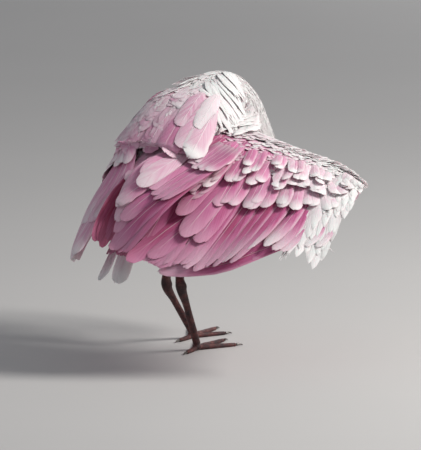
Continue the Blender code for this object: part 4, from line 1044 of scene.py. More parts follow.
def makeTail():
    rows = []
    for first, last, rose, side in ((0.10, 0.30, 0.22, 1), (0.66, 0.88, 0.36, -1)):  # the closed tail lies in two bunches
        rows.append({"count": 6, "across": (first, last), "root": 0.0, "tip": (0.95, 1.0, 0.98), "width": 0.0160, "rise0": 0.0,
                     "rise1": 0.0010, "roll": 0.14 * side, "rose": rose, "pale": 1.0, "ragged": 0.02, "uneven": 0.012,
                     "camber": 0.20})
    tract = featherRow(tailSurface, 1, rows, 71)
    tract["vane"] = "flight"
    piece = layFeathers("tail_feathers", tract, flightFeather)
    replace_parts(piece, "tail")
    for name, side, rose, reach, seed in (("upper_tail_coverts", 1, 0.97, 0.56, 72), ("under_tail_coverts", -1, 0.85, 0.44, 73)):
        rows = []
        for i, tip in enumerate(np.linspace(reach, 0.0, 7)):
            rows.append({"count": 11 + i % 2, "across": (0.0, 1.0), "root": tip - 0.34, "tip": tip, "width": 0.0125,
                         "rise0": 0.001, "rise1": 0.0030 + 0.0008 * i, "rose": rose, "pale": 0.3, "ragged": 0.06, "uneven": 0.03,
                         "shuffle": 0.5, "twist": 0.1, "camber": 0.26})
        tract = featherRow(tailSurface, side, rows, seed)
        tract["vane"] = "body"
        layFeathers(name, tract, wingFeather)


makeTail()
print("feathers laid:", featherCount[0])


# skin
def rolledGrid(bm, around, rows, place):
    # a grid rolled into a closed tube: place(u, v) gives its points, u round it and v along it
    made = bmesh.ops.create_grid(bm, x_segments=around, y_segments=rows, size=0.5)["verts"]
    u = np.array([v.co.x + 0.5 for v in made])
    v = np.array([v.co.y + 0.5 for v in made])
    for vert, co in zip(made, place(u, v)):
        vert.co = co
    bmesh.ops.remove_doubles(bm, verts=made, dist=2e-6)
    return made


def meshFrom(bm, name):
    mesh = bpy.data.meshes.new(name)
    bmesh.ops.recalc_face_normals(bm, faces=bm.faces)
    bm.to_mesh(mesh)
    bm.free()
    piece = bpy.data.objects.new(name, mesh)
    bpy.context.scene.collection.objects.link(piece)
    return piece


def applyModifiers(piece):
    depsgraph = bpy.context.evaluated_depsgraph_get()
    mesh = bpy.data.meshes.new_from_object(piece.evaluated_get(depsgraph))
    old = piece.data
    piece.modifiers.clear()
    piece.data = mesh
    bpy.data.meshes.remove(old)


def voxelRemesh(piece, voxel, smoothing):
    remesh = piece.modifiers.new("remesh", "REMESH")
    remesh.mode = "VOXEL"
    remesh.voxel_size = voxel
    soften = piece.modifiers.new("soften", "SMOOTH")
    soften.factor = 0.5
    soften.iterations = smoothing
    applyModifiers(piece)


def vertsOf(mesh):
    out = np.empty(len(mesh.vertices) * 3)
    mesh.vertices.foreach_get("co", out)
    return out.reshape(-1, 3)


def endCap(v, start=0.02, finish=0.02):  # closes the two ends of a rolled grid to points
    return np.sqrt(np.clip(np.minimum(v / start, (1 - v) / finish), 0, 1) * (2 - np.clip(np.minimum(v / start, (1 - v) / finish), 0, 1)))


coatDepth = {"trunk": 0.0085, "neck": 0.0055, "thigh": 0.0050}


def makeTrunkForm():
    bm = bmesh.new()

    def trunk(u, v):
        t = v * 12.0
        here = curveAt(spine, t)
        along = unit(curveAt(spine, np.minimum(t + 0.02, 13.0))[..., :3] - curveAt(spine, np.maximum(t - 0.02, 0.0))[..., :3])
        side = unit(np.array((0.0, 1.0, 0.0)) - along * along[..., 1:2])
        up = np.cross(along, side)
        sink = np.interp(t, [0, 1, 6, 8, 12], [0.004, coatDepth["trunk"], coatDepth["trunk"], coatDepth["neck"], 0.0040])
        cap = endCap(v, 0.03, 0.02)
        a = u * 2 * np.pi
        keel = 1 + 0.06 * np.maximum(0.0, np.cos(a + np.pi / 2)) ** 6 * smooth(1.5, 3.0, t) * smooth(6.0, 4.5, t)
        width = np.maximum(here[..., 4] - sink, 0.003) * cap
        depth = np.maximum(here[..., 3] - sink, 0.003) * cap * keel
        return here[..., :3] + side * (width * np.cos(a))[..., None] + up * (depth * np.sin(a))[..., None]

    rolledGrid(bm, 48, 120, trunk)
    for leg in (leftLeg, rightLeg):
        def thigh(u, v, leg=leg):
            t = v * 3.05
            here = curveAt(leg, t)
            along = unit(curveAt(leg, t + 0.02)[..., :3] - curveAt(leg, t - 0.02)[..., :3])
            side = unit(np.array((0.0, 1.0, 0.0)) - along * along[..., 1:2])
            up = np.cross(along, side)
            sink = np.interp(t, [0, 2.4, 3.0], [coatDepth["thigh"], coatDepth["thigh"], 0.0004])
            radius = np.maximum(here[..., 3] - sink, 0.002) * endCap(v, 0.03, 0.02)
            a = u * 2 * np.pi
            return here[..., :3] + (side * np.cos(a)[..., None] + up * np.sin(a)[..., None]) * radius[..., None]
        rolledGrid(bm, 28, 60, thigh)

    def rightArm(u, v):  # shoulder, forearm and hand of the open wing, with the skin that joins them
        across = -0.16 + v * 1.14
        a = u * 2 * np.pi
        chord = 0.24 + (0.20 - 0.24) * v + 0.245 * np.cos(a)
        half = (rightWingHalf(np.clip(across, 0, 1), np.full_like(u, 0.22)) - 0.0030) * endCap(v, 0.02, 0.05)
        half = np.maximum(half, 0.0008)
        shaped = np.clip(chord, 0.02, 0.47)
        return (rightWingSurface(across, shaped)
                + np.array((0.0, 0.0, 1.0)) * (np.sin(a) * half * np.interp(shaped, [0, 0.2, 0.47], [1, 1, 0.35]))[..., None])

    rolledGrid(bm, 40, 60, rightArm)

    def leftArm(u, v):
        t = 0.25 + v * 2.7
        a = u * 2 * np.pi
        share = 0.5 + 0.46 * np.cos(a)
        half = np.maximum(leftWingHalf(t, share) - 0.0024, 0.0012) * endCap(v, 0.06, 0.06)
        p = leftWingSurface(t, share)
        q = leftWingSurface(t, share + 0.01) - leftWingSurface(t, share - 0.01)
        r = leftWingSurface(t + 0.01, share) - leftWingSurface(t - 0.01, share)
        return p + unit(np.cross(r, q)) * (np.sin(a) * half)[..., None]

    rolledGrid(bm, 40, 40, leftArm)

    def leftShoulder(u, v):  # joins the folded wing to the body
        start, end = bodySurface(np.array([4.9]), np.array([0.03]), -0.03)[0], leftWingSurface(np.array([1.0]), np.array([0.5]))[0]
        a = u * 2 * np.pi
        axis = unit(end - start)
        one = unit(np.cross(axis, (0, 0, 1.0)))
        two = np.cross(axis, one)
        radius = 0.020 * endCap(v, 0.15, 0.15)
        return start + (end - start) * v[..., None] + (one * np.cos(a)[..., None] + two * np.sin(a)[..., None]) * radius[..., None]

    rolledGrid(bm, 24, 16, leftShoulder)
    form = meshFrom(bm, "trunk_form")
    voxelRemesh(form, 0.0034, 6)
    return form


def headFrame(p):  # ahead, left and up of the head's centre
    q = p - headCentre
    return q @ headAim, q @ headLeft, q @ headUp


def makeHeadForm():
    bm = bmesh.new()
    stations = headLines["stations"]

    def head(u, v):
        t = v * (len(stations) - 1)
        here = curveAt(stations, t)
        cap = endCap(v, 0.06, 0.04)
        a = u * 2 * np.pi
        lower = np.where(np.sin(a) < 0, 0.955, 1.0)
        return (headCentre + headAim * here[..., 0:1] + headLeft * (here[..., 2] * cap * np.cos(a))[..., None]
                + headUp * (here[..., 3] + here[..., 1] * cap * np.sin(a) * lower)[..., None])

    rolledGrid(bm, 56, 60, head)

    def nape(u, v):
        t = 11.0 + v * 1.9
        here = curveAt(spine, t)
        along = unit(curveAt(spine, np.minimum(t + 0.02, 13.0))[..., :3] - curveAt(spine, t - 0.02)[..., :3])
        side = unit(np.array((0.0, 1.0, 0.0)) - along * along[..., 1:2])
        up = np.cross(along, side)
        sink = np.interp(t, [11.0, 12.0, 12.6, 13.0], [0.0052, 0.0040, 0.0012, 0.0010])
        a = u * 2 * np.pi
        radius = (here[..., 3] - sink) * endCap(v, 0.08, 0.10)
        return here[..., :3] + (side * np.cos(a)[..., None] + up * np.sin(a)[..., None]) * radius[..., None]

    rolledGrid(bm, 40, 40, nape)
    form = meshFrom(bm, "head_form")
    voxelRemesh(form, 0.0012, 5)
    bm = bmesh.new()
    bm.from_mesh(form.data)
    eyes = [headCentre + headAim * headLines["eyeAhead"] + headLeft * headLines["eyeSide"] * s + headUp * headLines["eyeRise"]
            for s in (1, -1)]
    for reach, cuts in ((0.0135, 1), (0.0100, 1)):
        near = [e for e in bm.edges if min(np.linalg.norm(np.array((e.verts[0].co + e.verts[1].co) / 2) - eye) for eye in eyes) < reach]
        bmesh.ops.subdivide_edges(bm, edges=near, cuts=cuts, use_grid_fill=True)
    front = [e for e in bm.edges if headFrame(np.array((e.verts[0].co + e.verts[1].co) / 2))[0] > 0.034]
    bmesh.ops.subdivide_edges(bm, edges=front, cuts=1, use_grid_fill=True)
    bmesh.ops.triangulate(bm, faces=[f for f in bm.faces if len(f.verts) > 4])
    bm.to_mesh(form.data)
    bm.free()
    return form, eyes


def wobble(p, scale, seed):  # smooth, repeatable unevenness between -1 and 1
    rng = np.random.default_rng(seed)
    total = 0.0
    for _ in range(6):
        k = unit(rng.normal(0, 1, 3)) * scale * rng.uniform(0.7, 1.5)
        total = total + np.sin(p @ k + rng.uniform(0, 6.28))
    return total / 3.5


def sculptHead(form, eyes):
    p = vertsOf(form.data)
    normal = np.empty(len(form.data.vertices) * 3)
    form.data.vertices.foreach_get("normal", normal)
    normal = normal.reshape(-1, 3)
    ahead, left, up = headFrame(p)
    side = np.sign(left)
    offset = np.zeros(len(p))
    gapeLine = -0.0010 - 0.0030 * smooth(0.040, 0.024, ahead)
    gape = np.exp(-((up - gapeLine) / 0.0009) ** 2) * smooth(0.021, 0.027, ahead) * smooth(0.3, 0.6, np.abs(left) / 0.014)
    offset -= 0.0016 * gape
    offset += 0.0007 * np.exp(-((up - gapeLine + 0.0020) / 0.0012) ** 2) * smooth(0.021, 0.027, ahead)
    offset += 0.0006 * np.exp(-((up - gapeLine - 0.0020) / 0.0012) ** 2) * smooth(0.021, 0.027, ahead)
    brow = np.exp(-((ahead - 0.026) / 0.010) ** 2 - ((up - 0.0135) / 0.0030) ** 2)
    offset += 0.0011 * brow
    lore = np.exp(-((ahead - 0.040) / 0.007) ** 2 - ((up - 0.0045) / 0.0040) ** 2)
    offset -= 0.0010 * lore
    ear = np.exp(-((ahead - 0.0085) / 0.0022) ** 2 - ((up + 0.0010) / 0.0028) ** 2) * smooth(0.010, 0.014, np.abs(left))
    offset -= 0.0024 * ear
    earRim = np.exp(-((np.hypot((ahead - 0.0085) / 0.0036, (up + 0.0010) / 0.0044) - 1) / 0.28) ** 2) * smooth(0.010, 0.014, np.abs(left))
    offset += 0.0007 * earRim
    throat = smooth(-0.004, -0.012, up) * smooth(0.004, 0.016, ahead)
    offset += throat * (0.00022 * np.sin(left * 2600 + 1.5 * wobble(p, 300, 3)) + 0.0004 * wobble(p, 260, 4))
    bareSkin = smooth(-0.012, 0.004, ahead)
    offset += bareSkin * (0.00022 * wobble(p, 900, 5) + 0.00016 * wobble(p, 1900, 6))
    crown = smooth(0.008, 0.016, up) * bareSkin
    offset += crown * 0.00030 * np.abs(wobble(p, 1300, 7))
    p = p + normal * offset[:, None]
    radius = headLines["eyeRadius"]
    for eye, s in zip(eyes, (1, -1)):
        axis = unit(headLeft * s * 0.93 + headAim * 0.30 + headUp * 0.08)
        d = p - eye
        r = np.linalg.norm(d, axis=1)
        direction = d / np.maximum(r, 1e-9)[:, None]
        c = direction @ axis
        # the opening is a wide almond: its half angle is larger fore and aft than up and down
        flat = direction - c[:, None] * axis
        fore = flat @ unit(headAim - axis * (headAim @ axis))
        rise = flat @ unit(headUp - axis * (headUp @ axis))
        turn = np.arctan2(rise, fore)
        opening = np.radians(50 + 5 * np.cos(turn) ** 2 - 3 * np.sin(turn) ** 2)
        theta = np.arccos(np.clip(c, -1, 1))
        lid = radius + 0.00075 + 0.00018 * np.cos((theta - opening) * 26) * np.exp(-((theta - opening) / 0.35) ** 2)
        inside = smooth(0.03, -0.05, theta - opening)
        target = lid * (1 - inside) + (radius - 0.0011) * inside
        near = (r < 0.0115) & (c > 0.1)
        fold = 0.00026 * np.cos((r - radius) * 3600 + 1.2 * np.sin(turn * 2)) * smooth(0.0065, 0.0075, r) * smooth(0.0115, 0.0090, r)
        fold = fold * (0.15 + 0.85 * smooth(0.1, 1.0, -np.sin(turn + 0.5)))
        raised = np.where(theta > opening + 0.05, np.maximum(r, target) + fold, target)
        softly = np.where(r > target, r * 0.75 + np.maximum(r, target) * 0.25, raised)
        newR = np.where(theta > opening + 0.03, np.maximum(raised, softly * 0), target)
        p = np.where(near[:, None], eye + direction * newR[:, None], p)
    form.data.vertices.foreach_set("co", p.reshape(-1))
    form.data.update()


toes = {"middle": (2.0, 0.076, 0.0046), "inner": (-30.0, 0.058, 0.0043), "outer": (33.0, 0.066, 0.0043), "hind": (176.0, 0.034, 0.0040)}
toeJoints = {"middle": (0.30, 0.56, 0.80), "inner": (0.42, 0.76), "outer": (0.24, 0.45, 0.65, 0.84), "hind": (0.50,)}
toeTip = 0.0030


def makeLegForm(name, leg, mirror):
    pieces = []

    def shank(u, v):  # from inside the thigh to the foot, swollen at the ankle
        t = 2.3 + v * 3.72
        here = curveAt(leg, np.minimum(t, 6.0))
        along = unit(curveAt(leg, np.minimum(t + 0.02, 6.0))[..., :3] - curveAt(leg, np.minimum(t, 6.0) - 0.02)[..., :3])
        side = unit(np.array((0.0, 1.0, 0.0)) - along * along[..., 1:2])
        up = np.cross(along, side)
        a = u * 2 * np.pi
        radius = np.where(t < 3.0, np.interp(t, [2.3, 2.6, 3.0], [0.0065, 0.0070, 0.0078]), here[..., 3])
        ankle = np.exp(-((t - 4.0) / 0.16) ** 2)
        radius = radius * (1 - 0.10 * np.exp(-((t - 3.55) / 0.3) ** 2))
        scute = np.abs((t * 9.0) % 1.0 - 0.5) * 2  # plates down the front, small overlaps
        front = smooth(0.2, 0.9, -np.sin(a) if not mirror else -np.sin(a))
        plate = 0.00022 * front * (1 - scute**4) * smooth(4.15, 4.35, t)
        knuckle = ankle * (0.0007 * np.cos(a * 2 + 0.6) + 0.0004 * np.sin(a * 3))
        flatten = 1 + 0.10 * np.cos(2 * a) * smooth(4.2, 4.6, t) * smooth(6.0, 5.6, t)
        radius = (radius * flatten + plate + knuckle) * endCap(v, 0.02, 0.01)
        return here[..., :3] + (side * np.cos(a)[..., None] + up * np.sin(a)[..., None]) * radius[..., None]

    bm = bmesh.new()
    rolledGrid(bm, 28, 230, shank)
    pieces.append(meshFrom(bm, name + "_shank"))
    root = leg[-1][:3].copy()
    bm = bmesh.new()
    bmesh.ops.create_uvsphere(bm, u_segments=32, v_segments=20, radius=0.0068,
                              matrix=Matrix.Translation((root[0], root[1], root[2] - 0.0042)) @ Matrix.Diagonal((1, 1, 0.84, 1)))
    for vert in bm.verts:
        vert.co.z = max(vert.co.z, 0.0001)
    bmesh.ops.remove_doubles(bm, verts=bm.verts, dist=1e-6)
    pieces.append(meshFrom(bm, name + "_hub"))
    lines = {}
    for toeName, (degrees, length, rootRadius) in toes.items():
        angle = math.radians(-degrees if mirror else degrees)
        way = np.array((math.cos(angle), math.sin(angle), 0.0))
        sideways = np.array((-way[1], way[0], 0.0))
        lines[toeName] = (way, length, rootRadius)

        def toe(u, v, way=way, sideways=sideways, length=length, rootRadius=rootRadius, joints=toeJoints[toeName]):
            radius = rootRadius + (toeTip - rootRadius) * v
            height = 0.80 * radius + 0.0006 * (1 - v)
            pad = np.zeros_like(v)
            for joint in joints:
                pad = pad + np.exp(-((v - joint) / (0.0045 / length)) ** 2)
            a = u * 2 * np.pi
            scute = (v * length / 0.0026) % 1.0
            top = smooth(0.3, 0.9, np.sin(a))
            sole = smooth(-0.3, -0.8, np.sin(a))
            r = radius * (0.93 + 0.10 * pad * (1 - 0.5 * top)) + 0.00020 * top * (1 - scute) - 0.0001 * sole * np.cos(v * length * 4200)
            r = r * endCap(v, 0.02, 0.05)
            z = np.maximum(height + r * np.sin(a), 0.00005)
            return (np.array((root[0], root[1], 0.0)) + way * (v * length)[..., None] + sideways * (r * np.cos(a))[..., None]
                    + np.array((0.0, 0.0, 1.0)) * z[..., None])

        bm = bmesh.new()
        rolledGrid(bm, 20, 84, toe)
        pieces.append(meshFrom(bm, name + "_" + toeName))
    for a, b in (("inner", "middle"), ("middle", "outer")):  # short webs between the front toes
        wayA, lengthA, _ = lines[a]
        wayB, lengthB, _ = lines[b]

        def web(u, v, wayA=wayA, wayB=wayB, lengthA=lengthA, lengthB=lengthB):
            a = u * 2 * np.pi
            share = 0.5 + 0.5 * np.cos(a)
            reach = 0.48 * v * (1 - 0.42 * np.sin(np.pi * share) * v)
            place = wayA * ((1 - share) * lengthA * reach)[..., None] + wayB * (share * lengthB * reach)[..., None]
            ripple = 0.00025 * np.sin(v * 26 + share * 3)
            z = 0.0022 + ripple + np.sin(a) * 0.0007 * endCap(v, 0.02, 0.06)
            return np.array((root[0], root[1], 0.0)) + place + np.array((0.0, 0.0, 1.0)) * z[..., None]

        bm = bmesh.new()
        rolledGrid(bm, 28, 26, web)
        pieces.append(meshFrom(bm, name + "_web_" + a))
    return pieces


def joinForms(base, others):
    group = bpy.data.collections.new("joined_forms")
    for other in others:
        bpy.context.scene.collection.objects.unlink(other)
        group.objects.link(other)
    union = base.modifiers.new("union", "BOOLEAN")
    union.operation = "UNION"
    union.operand_type = "COLLECTION"
    union.collection = group
    union.solver = "EXACT"
    applyModifiers(base)
    for other in others:
        bpy.data.objects.remove(other)
    bpy.data.collections.remove(group)
    bm = bmesh.new()
    bm.from_mesh(base.data)
    bmesh.ops.remove_doubles(bm, verts=bm.verts, dist=4e-5)
    bmesh.ops.dissolve_degenerate(bm, dist=2e-5, edges=bm.edges)
    bmesh.ops.triangulate(bm, faces=[f for f in bm.faces if len(f.verts) > 4])
    islands = bm.verts[:]
    bm.verts.index_update()
    seen, best = set(), []
    for vert in islands:  # only the one closed skin is kept, with no crumbs from the joining
        if vert in seen:
            continue
        stack, island = [vert], []
        seen.add(vert)
        while stack:
            here = stack.pop()
            island.append(here)
            for edge in here.link_edges:
                other = edge.other_vert(here)
                if other not in seen:
                    seen.add(other)
                    stack.append(other)
        if len(island) > len(best):
            best = island
    keep = set(best)
    bmesh.ops.delete(bm, geom=[v for v in bm.verts if v not in keep], context="VERTS")
    bm.to_mesh(base.data)
    bm.free()


def legPlace(p):  # nearest station down either leg, and how near
    best = np.full(len(p), 1e9)
    station = np.zeros(len(p))
    marks = np.linspace(0, 6, 140)
    for leg in (leftLeg, rightLeg):
        line = curveAt(leg, marks)[:, :3]
        distance = np.linalg.norm(p[:, None] - line[None], axis=2)
        k = distance.argmin(1)
        nearer = distance[np.arange(len(p)), k] < best
        best = np.where(nearer, distance[np.arange(len(p)), k], best)
        station = np.where(nearer, marks[k], station)
    return station, best


def spinePlace(p):
    marks = np.linspace(0, 13, 200)
    here = curveAt(spine, marks)
    k = np.linalg.norm(p[:, None] - here[None, :, :3], axis=2).argmin(1)
    along = unit(np.gradient(here[:, :3], axis=0))[k]
    side = unit(np.array((0.0, 1.0, 0.0)) - along * along[:, 1:2])
    up = np.cross(along, side)
    d = p - here[k, :3]
    turn = np.arctan2((d * up).sum(1), (d * side).sum(1)) / (2 * np.pi)
    return marks[k], turn % 1.0


nape = {"length": 0.0105, "width": 0.0030, "rows": 26, "around": 52, "stations": 24, "angles": 72, "seed": 91}


def makeNape(p, skin):  # short white feathers from the dark band over the back of the head to the neck
    tree = BVHTree.FromPolygons([Vector(q) for q in p], [tuple(f.vertices) for f in skin.data.polygons])
    start, bend, end = headCentre + headAim * 0.004, headCentre - headAim * 0.017, curveAt(spine, np.array(11.4))[:3]

    def centreAt(a):
        f = a[..., None]
        return (1 - f) ** 2 * start + 2 * f * (1 - f) * bend + f**2 * end

    def ringAt(a):
        f = a[..., None]
        along = unit(2 * (1 - f) * (bend - start) + 2 * f * (end - bend))
        side = unit(headLeft - along * (along @ headLeft)[..., None])
        return side, np.cross(along, side)

    marks = np.linspace(0, 1, nape["stations"])
    centres, (side, up) = centreAt(marks), ringAt(marks)
    reach = np.empty((nape["stations"], nape["angles"]))
    for i in range(nape["stations"]):
        for j in range(nape["angles"]):
            turn = j / nape["angles"] * 2 * np.pi
            hit = tree.ray_cast(Vector(centres[i]), Vector(side[i] * math.cos(turn) + up[i] * math.sin(turn)), 0.05)
            reach[i, j] = hit[3] if hit[0] else 0.016
    reach = np.minimum(reach, 0.026)
    reach[1:-1] = (reach[:-2] + reach[1:-1] * 2 + reach[2:]) / 4

    def surface(a, b):
        x = np.clip(a, 0, 1) * (nape["stations"] - 1)
        i = np.clip(np.floor(x).astype(int), 0, nape["stations"] - 2)
        y = (b % 1.0) * nape["angles"]
        j = np.floor(y).astype(int) % nape["angles"]
        k = (j + 1) % nape["angles"]
        f, g = x - i, y - np.floor(y)
        radius = (reach[i, j] * (1 - g) + reach[i, k] * g) * (1 - f) + (reach[i + 1, j] * (1 - g) + reach[i + 1, k] * g) * f
        sideHere, upHere = ringAt(np.clip(a, 0, 1))
        turn = b * 2 * np.pi
        return centreAt(a) + (sideHere * np.cos(turn)[..., None] + upHere * np.sin(turn)[..., None]) * radius[..., None]

    rng = np.random.default_rng(nape["seed"])
    a = np.repeat(np.linspace(0.0, 0.86, nape["rows"]), nape["around"])
    b = np.tile(np.arange(nape["around"]) / nape["around"], nape["rows"]) + np.repeat(np.arange(nape["rows"]) % 2, nape["around"]) * 0.5 / nape["around"]
    a, b = a + jitter(rng, len(a), 0.010), b + jitter(rng, len(b), 0.004)
    ahead, left, rise = headFrame(surface(a, b))
    keep = (ahead + 0.25 * (rise + 0.004) + jitter(rng, len(a), 0.0006) < -0.0022) & (a > 0)
    a, b = a[keep], b[keep]
    n = len(a)
    step = np.linalg.norm(surface(np.minimum(a + 0.02, 1), b) - surface(a, b), axis=1) / 0.02
    size = nape["length"] * (1 + jitter(rng, n, 0.12))
    tract = {"vane": "hair", "seed": nape["seed"], "surface": surface, "side": -1, "a0": a, "b0": b,
             "a1": np.minimum(a + size / np.maximum(step, 0.012), 0.995), "b1": b + jitter(rng, n, 0.008), "rootHeight": 0.0000,
             "tipHeight": 0.0010, "width": nape["width"] * (1 + jitter(rng, n, 0.1)), "ragged": 0.05, "twist": jitter(rng, n, 0.06),
             "thick": 0.0003, "camber": 0.3, "rose": 0.03, "pale": 0.2, "bakeU": 0.05 + 0.9 * (b % 1.0), "bakeV": 0.05 + 0.9 * a}
    layFeathers("nape_feathers", tract, bodyFeather)


def makeSkin():
    trunk = makeTrunkForm()
    print("trunk form", len(trunk.data.polygons))
    head, eyes = makeHeadForm()
    sculptHead(head, eyes)
    print("head form", len(head.data.polygons))
    legs = makeLegForm("left_leg", leftLeg, False) + makeLegForm("right_leg", rightLeg, True)
    joinForms(trunk, [head] + legs)
    skin = trunk
    skin.name = skin.data.name = "skin"
    p = vertsOf(skin.data)
    t, turn = spinePlace(p)
    station, near = legPlace(p)
    ahead, left, up = headFrame(p)
    onLeg = smooth(2.96, 3.12, station) * (p[:, 2] < 0.18)
    bare = smooth(-0.010, 0.004, ahead + 0.25 * (up + 0.004)) * (np.linalg.norm(p - headCentre, axis=1) < 0.075)
    band = np.exp(-((ahead + 0.004 + 0.25 * up) / 0.0075) ** 2) * smooth(-0.016, -0.004, up) * (bare > 0.001)
    earDark = 1.3 * np.exp(-((ahead - 0.0085) / 0.0021) ** 2 - ((up + 0.0010) / 0.0027) ** 2) * (bare > 0.01)
    eyeRing = np.zeros(len(p))
    for eye in eyes:
        r = np.linalg.norm(p - eye, axis=1)
        eyeRing = np.maximum(eyeRing, smooth(0.0082, 0.0060, r))
    throat = smooth(-0.005, -0.017, up + 0.0018 * wobble(p, 240, 8)) * smooth(0.004, 0.022, ahead) * smooth(0.050, 0.036, ahead) * bare
    for key, values in (("rose", markBody(t, turn)), ("leg", onLeg), ("bare", bare), ("band", np.maximum(band, earDark)),
                        ("eyeRing", eyeRing), ("throat", throat), ("down", station)):
        skin.data.attributes.new(key, "FLOAT", "POINT").data.foreach_set("value", values.astype(np.float32))
    skin.data.vertices.foreach_set("co", (p + stance).reshape(-1))
    skin.data.update()
    skin.data.shade_smooth()
    skin.data.materials.append(makeSkinMaterial())
    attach(skin, "root")
    makeNape(p, skin)
    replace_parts(skin, "trunk", "neck", "head", "thigh_left", "thigh_right", "shank_left", "shank_right", "tarsus_left",
                "tarsus_right", "foot_left", "foot_right", "wing_left_arm", "wing_right_arm")
    print("skin", len(skin.data.polygons))
    return eyes


skinTones = {
    "face": (0.50, 0.52, 0.38), "faceYellow": (0.62, 0.55, 0.30), "faceGrey": (0.34, 0.37, 0.32), "band": (0.022, 0.020, 0.020),
    "throat": (0.60, 0.40, 0.18), "leg": (0.110, 0.030, 0.030), "legDark": (0.024, 0.014, 0.016), "legPale": (0.26, 0.11, 0.09),
    "eyeRing": (0.55, 0.42, 0.18),
}


def makeSkinMaterial():
    material, tree, shader = newMaterial("bird_skin")
    place = addNode(tree, "ShaderNodeTexCoord").outputs["Object"]
    coat = addNode(tree, "ShaderNodeGroup")
    coat.node_tree = bpy.data.node_groups["plumageColour"]
    tree.links.new(attributeNode(tree, "rose"), coat.inputs[0])
    pimples = addNode(tree, "ShaderNodeTexVoronoi", in_Scale=260.0)
    tree.links.new(place, pimples.inputs["Vector"])
    quillDots = remap(tree, pimples.outputs["Distance"], 0.12, 0.30)
    fleshy = mixColour(tree, quillDots, (0.66, 0.48, 0.48, 1.0), (0.76, 0.60, 0.58, 1.0))
    under = mixColour(tree, 0.75, fleshy, coat.outputs[0])
    blotch = noise(tree, place, 95.0, 4.0, 0.6)
    fine = noise(tree, place, 420.0, 3.0, 0.6)
    warts = addNode(tree, "ShaderNodeTexVoronoi", in_Scale=620.0, feature="SMOOTH_F1")
    tree.links.new(place, warts.inputs["Vector"])
    face = colourRamp(tree, blotch, [(0.30, skinTones["faceGrey"]), (0.50, skinTones["face"]), (0.72, skinTones["faceYellow"])])
    cracks = remap(tree, warts.outputs["Distance"], 0.30, 0.62)
    face = mixColour(tree, mathNode(tree, "MULTIPLY", cracks, 0.35), face, (*skinTones["faceGrey"], 1.0))
    face = mixColour(tree, mathNode(tree, "MULTIPLY", remap(tree, fine, 0.45, 0.7), 0.35), face, (0.66, 0.64, 0.50, 1.0))
    throat = mixColour(tree, blotch, (*skinTones["throat"], 1.0), (0.62, 0.52, 0.30, 1.0))
    face = mixColour(tree, mathNode(tree, "MULTIPLY", attributeNode(tree, "throat"), 0.8), face, throat)
    face = mixColour(tree, attributeNode(tree, "eyeRing"), face, (*skinTones["eyeRing"], 1.0))
    bandEdge = mathNode(tree, "MULTIPLY_ADD", mathNode(tree, "SUBTRACT", fine, 0.5), 0.7, attributeNode(tree, "band"))
    face = mixColour(tree, remap(tree, bandEdge, 0.35, 0.55), face, (*skinTones["band"], 1.0))
    scales = addNode(tree, "ShaderNodeTexVoronoi", in_Scale=330.0, feature="DISTANCE_TO_EDGE")
    tree.links.new(place, scales.inputs["Vector"])
    seams = remap(tree, scales.outputs["Distance"], 0.10, 0.02)
    legTone = colourRamp(tree, blotch, [(0.32, skinTones["legDark"]), (0.56, skinTones["leg"]), (0.80, skinTones["legPale"])])
    legTone = mixColour(tree, mathNode(tree, "MULTIPLY", seams, 0.7), legTone, (*skinTones["legDark"], 1.0))
    joint = attributeNode(tree, "down")
    ankle = mathNode(tree, "MULTIPLY", remap(tree, mathNode(tree, "ABSOLUTE", mathNode(tree, "SUBTRACT", joint, 4.0)), 0.35, 0.08), 0.6)
    legTone = mixColour(tree, ankle, legTone, (*skinTones["legDark"], 1.0))
    colour = mixColour(tree, attributeNode(tree, "bare"), under, face)
    colour = mixColour(tree, attributeNode(tree, "leg"), colour, legTone)
    tree.links.new(colour, shader.inputs["Base Color"])
    tree.links.new(remap(tree, fine, 0.3, 0.7, 0.62, 0.44), shader.inputs["Roughness"])
    legHeight = mathNode(tree, "MULTIPLY", remap(tree, scales.outputs["Distance"], 0.0, 0.14), attributeNode(tree, "leg"))
    skinHeight = mathNode(tree, "MULTIPLY", mathNode(tree, "SUBTRACT", fine, mathNode(tree, "MULTIPLY", cracks, 0.8)), 0.6)
    lumps = addNode(tree, "ShaderNodeBump", in_Strength=0.5, in_Distance=0.0006)
    tree.links.new(mathNode(tree, "ADD", legHeight, skinHeight), lumps.inputs["Height"])
    tree.links.new(lumps.outputs[0], shader.inputs["Normal"])
    shader.inputs["Specular IOR Level"].default_value = 0.35
    return material


eyePlaces = makeSkin()


bill = {
    "gap": 0.0,
    # distance from its root, half width, depth of the upper half, of the lower half, droop
    "stations": np.array([
        (0.000, 0.0116, 0.0104, 0.0074, 0.0000), (0.008, 0.0126, 0.0113, 0.0080, 0.0001), (0.034, 0.0108, 0.0082, 0.0056, 0.0006),
        (0.072, 0.0090, 0.0052, 0.0040, 0.0010), (0.104, 0.0098, 0.0040, 0.0032, 0.0010), (0.128, 0.0148, 0.0034, 0.0026, 0.0014),
        (0.148, 0.0226, 0.0030, 0.0022, 0.0028), (0.160, 0.0236, 0.0026, 0.0019, 0.0044), (0.169, 0.0170, 0.0020, 0.0014, 0.0062),
        (0.173, 0.0070, 0.0014, 0.0010, 0.0074)]),
    "horn": (0.40, 0.42, 0.36), "pale": (0.62, 0.60, 0.50), "dark": (0.085, 0.085, 0.080), "bands": 26.0,
}


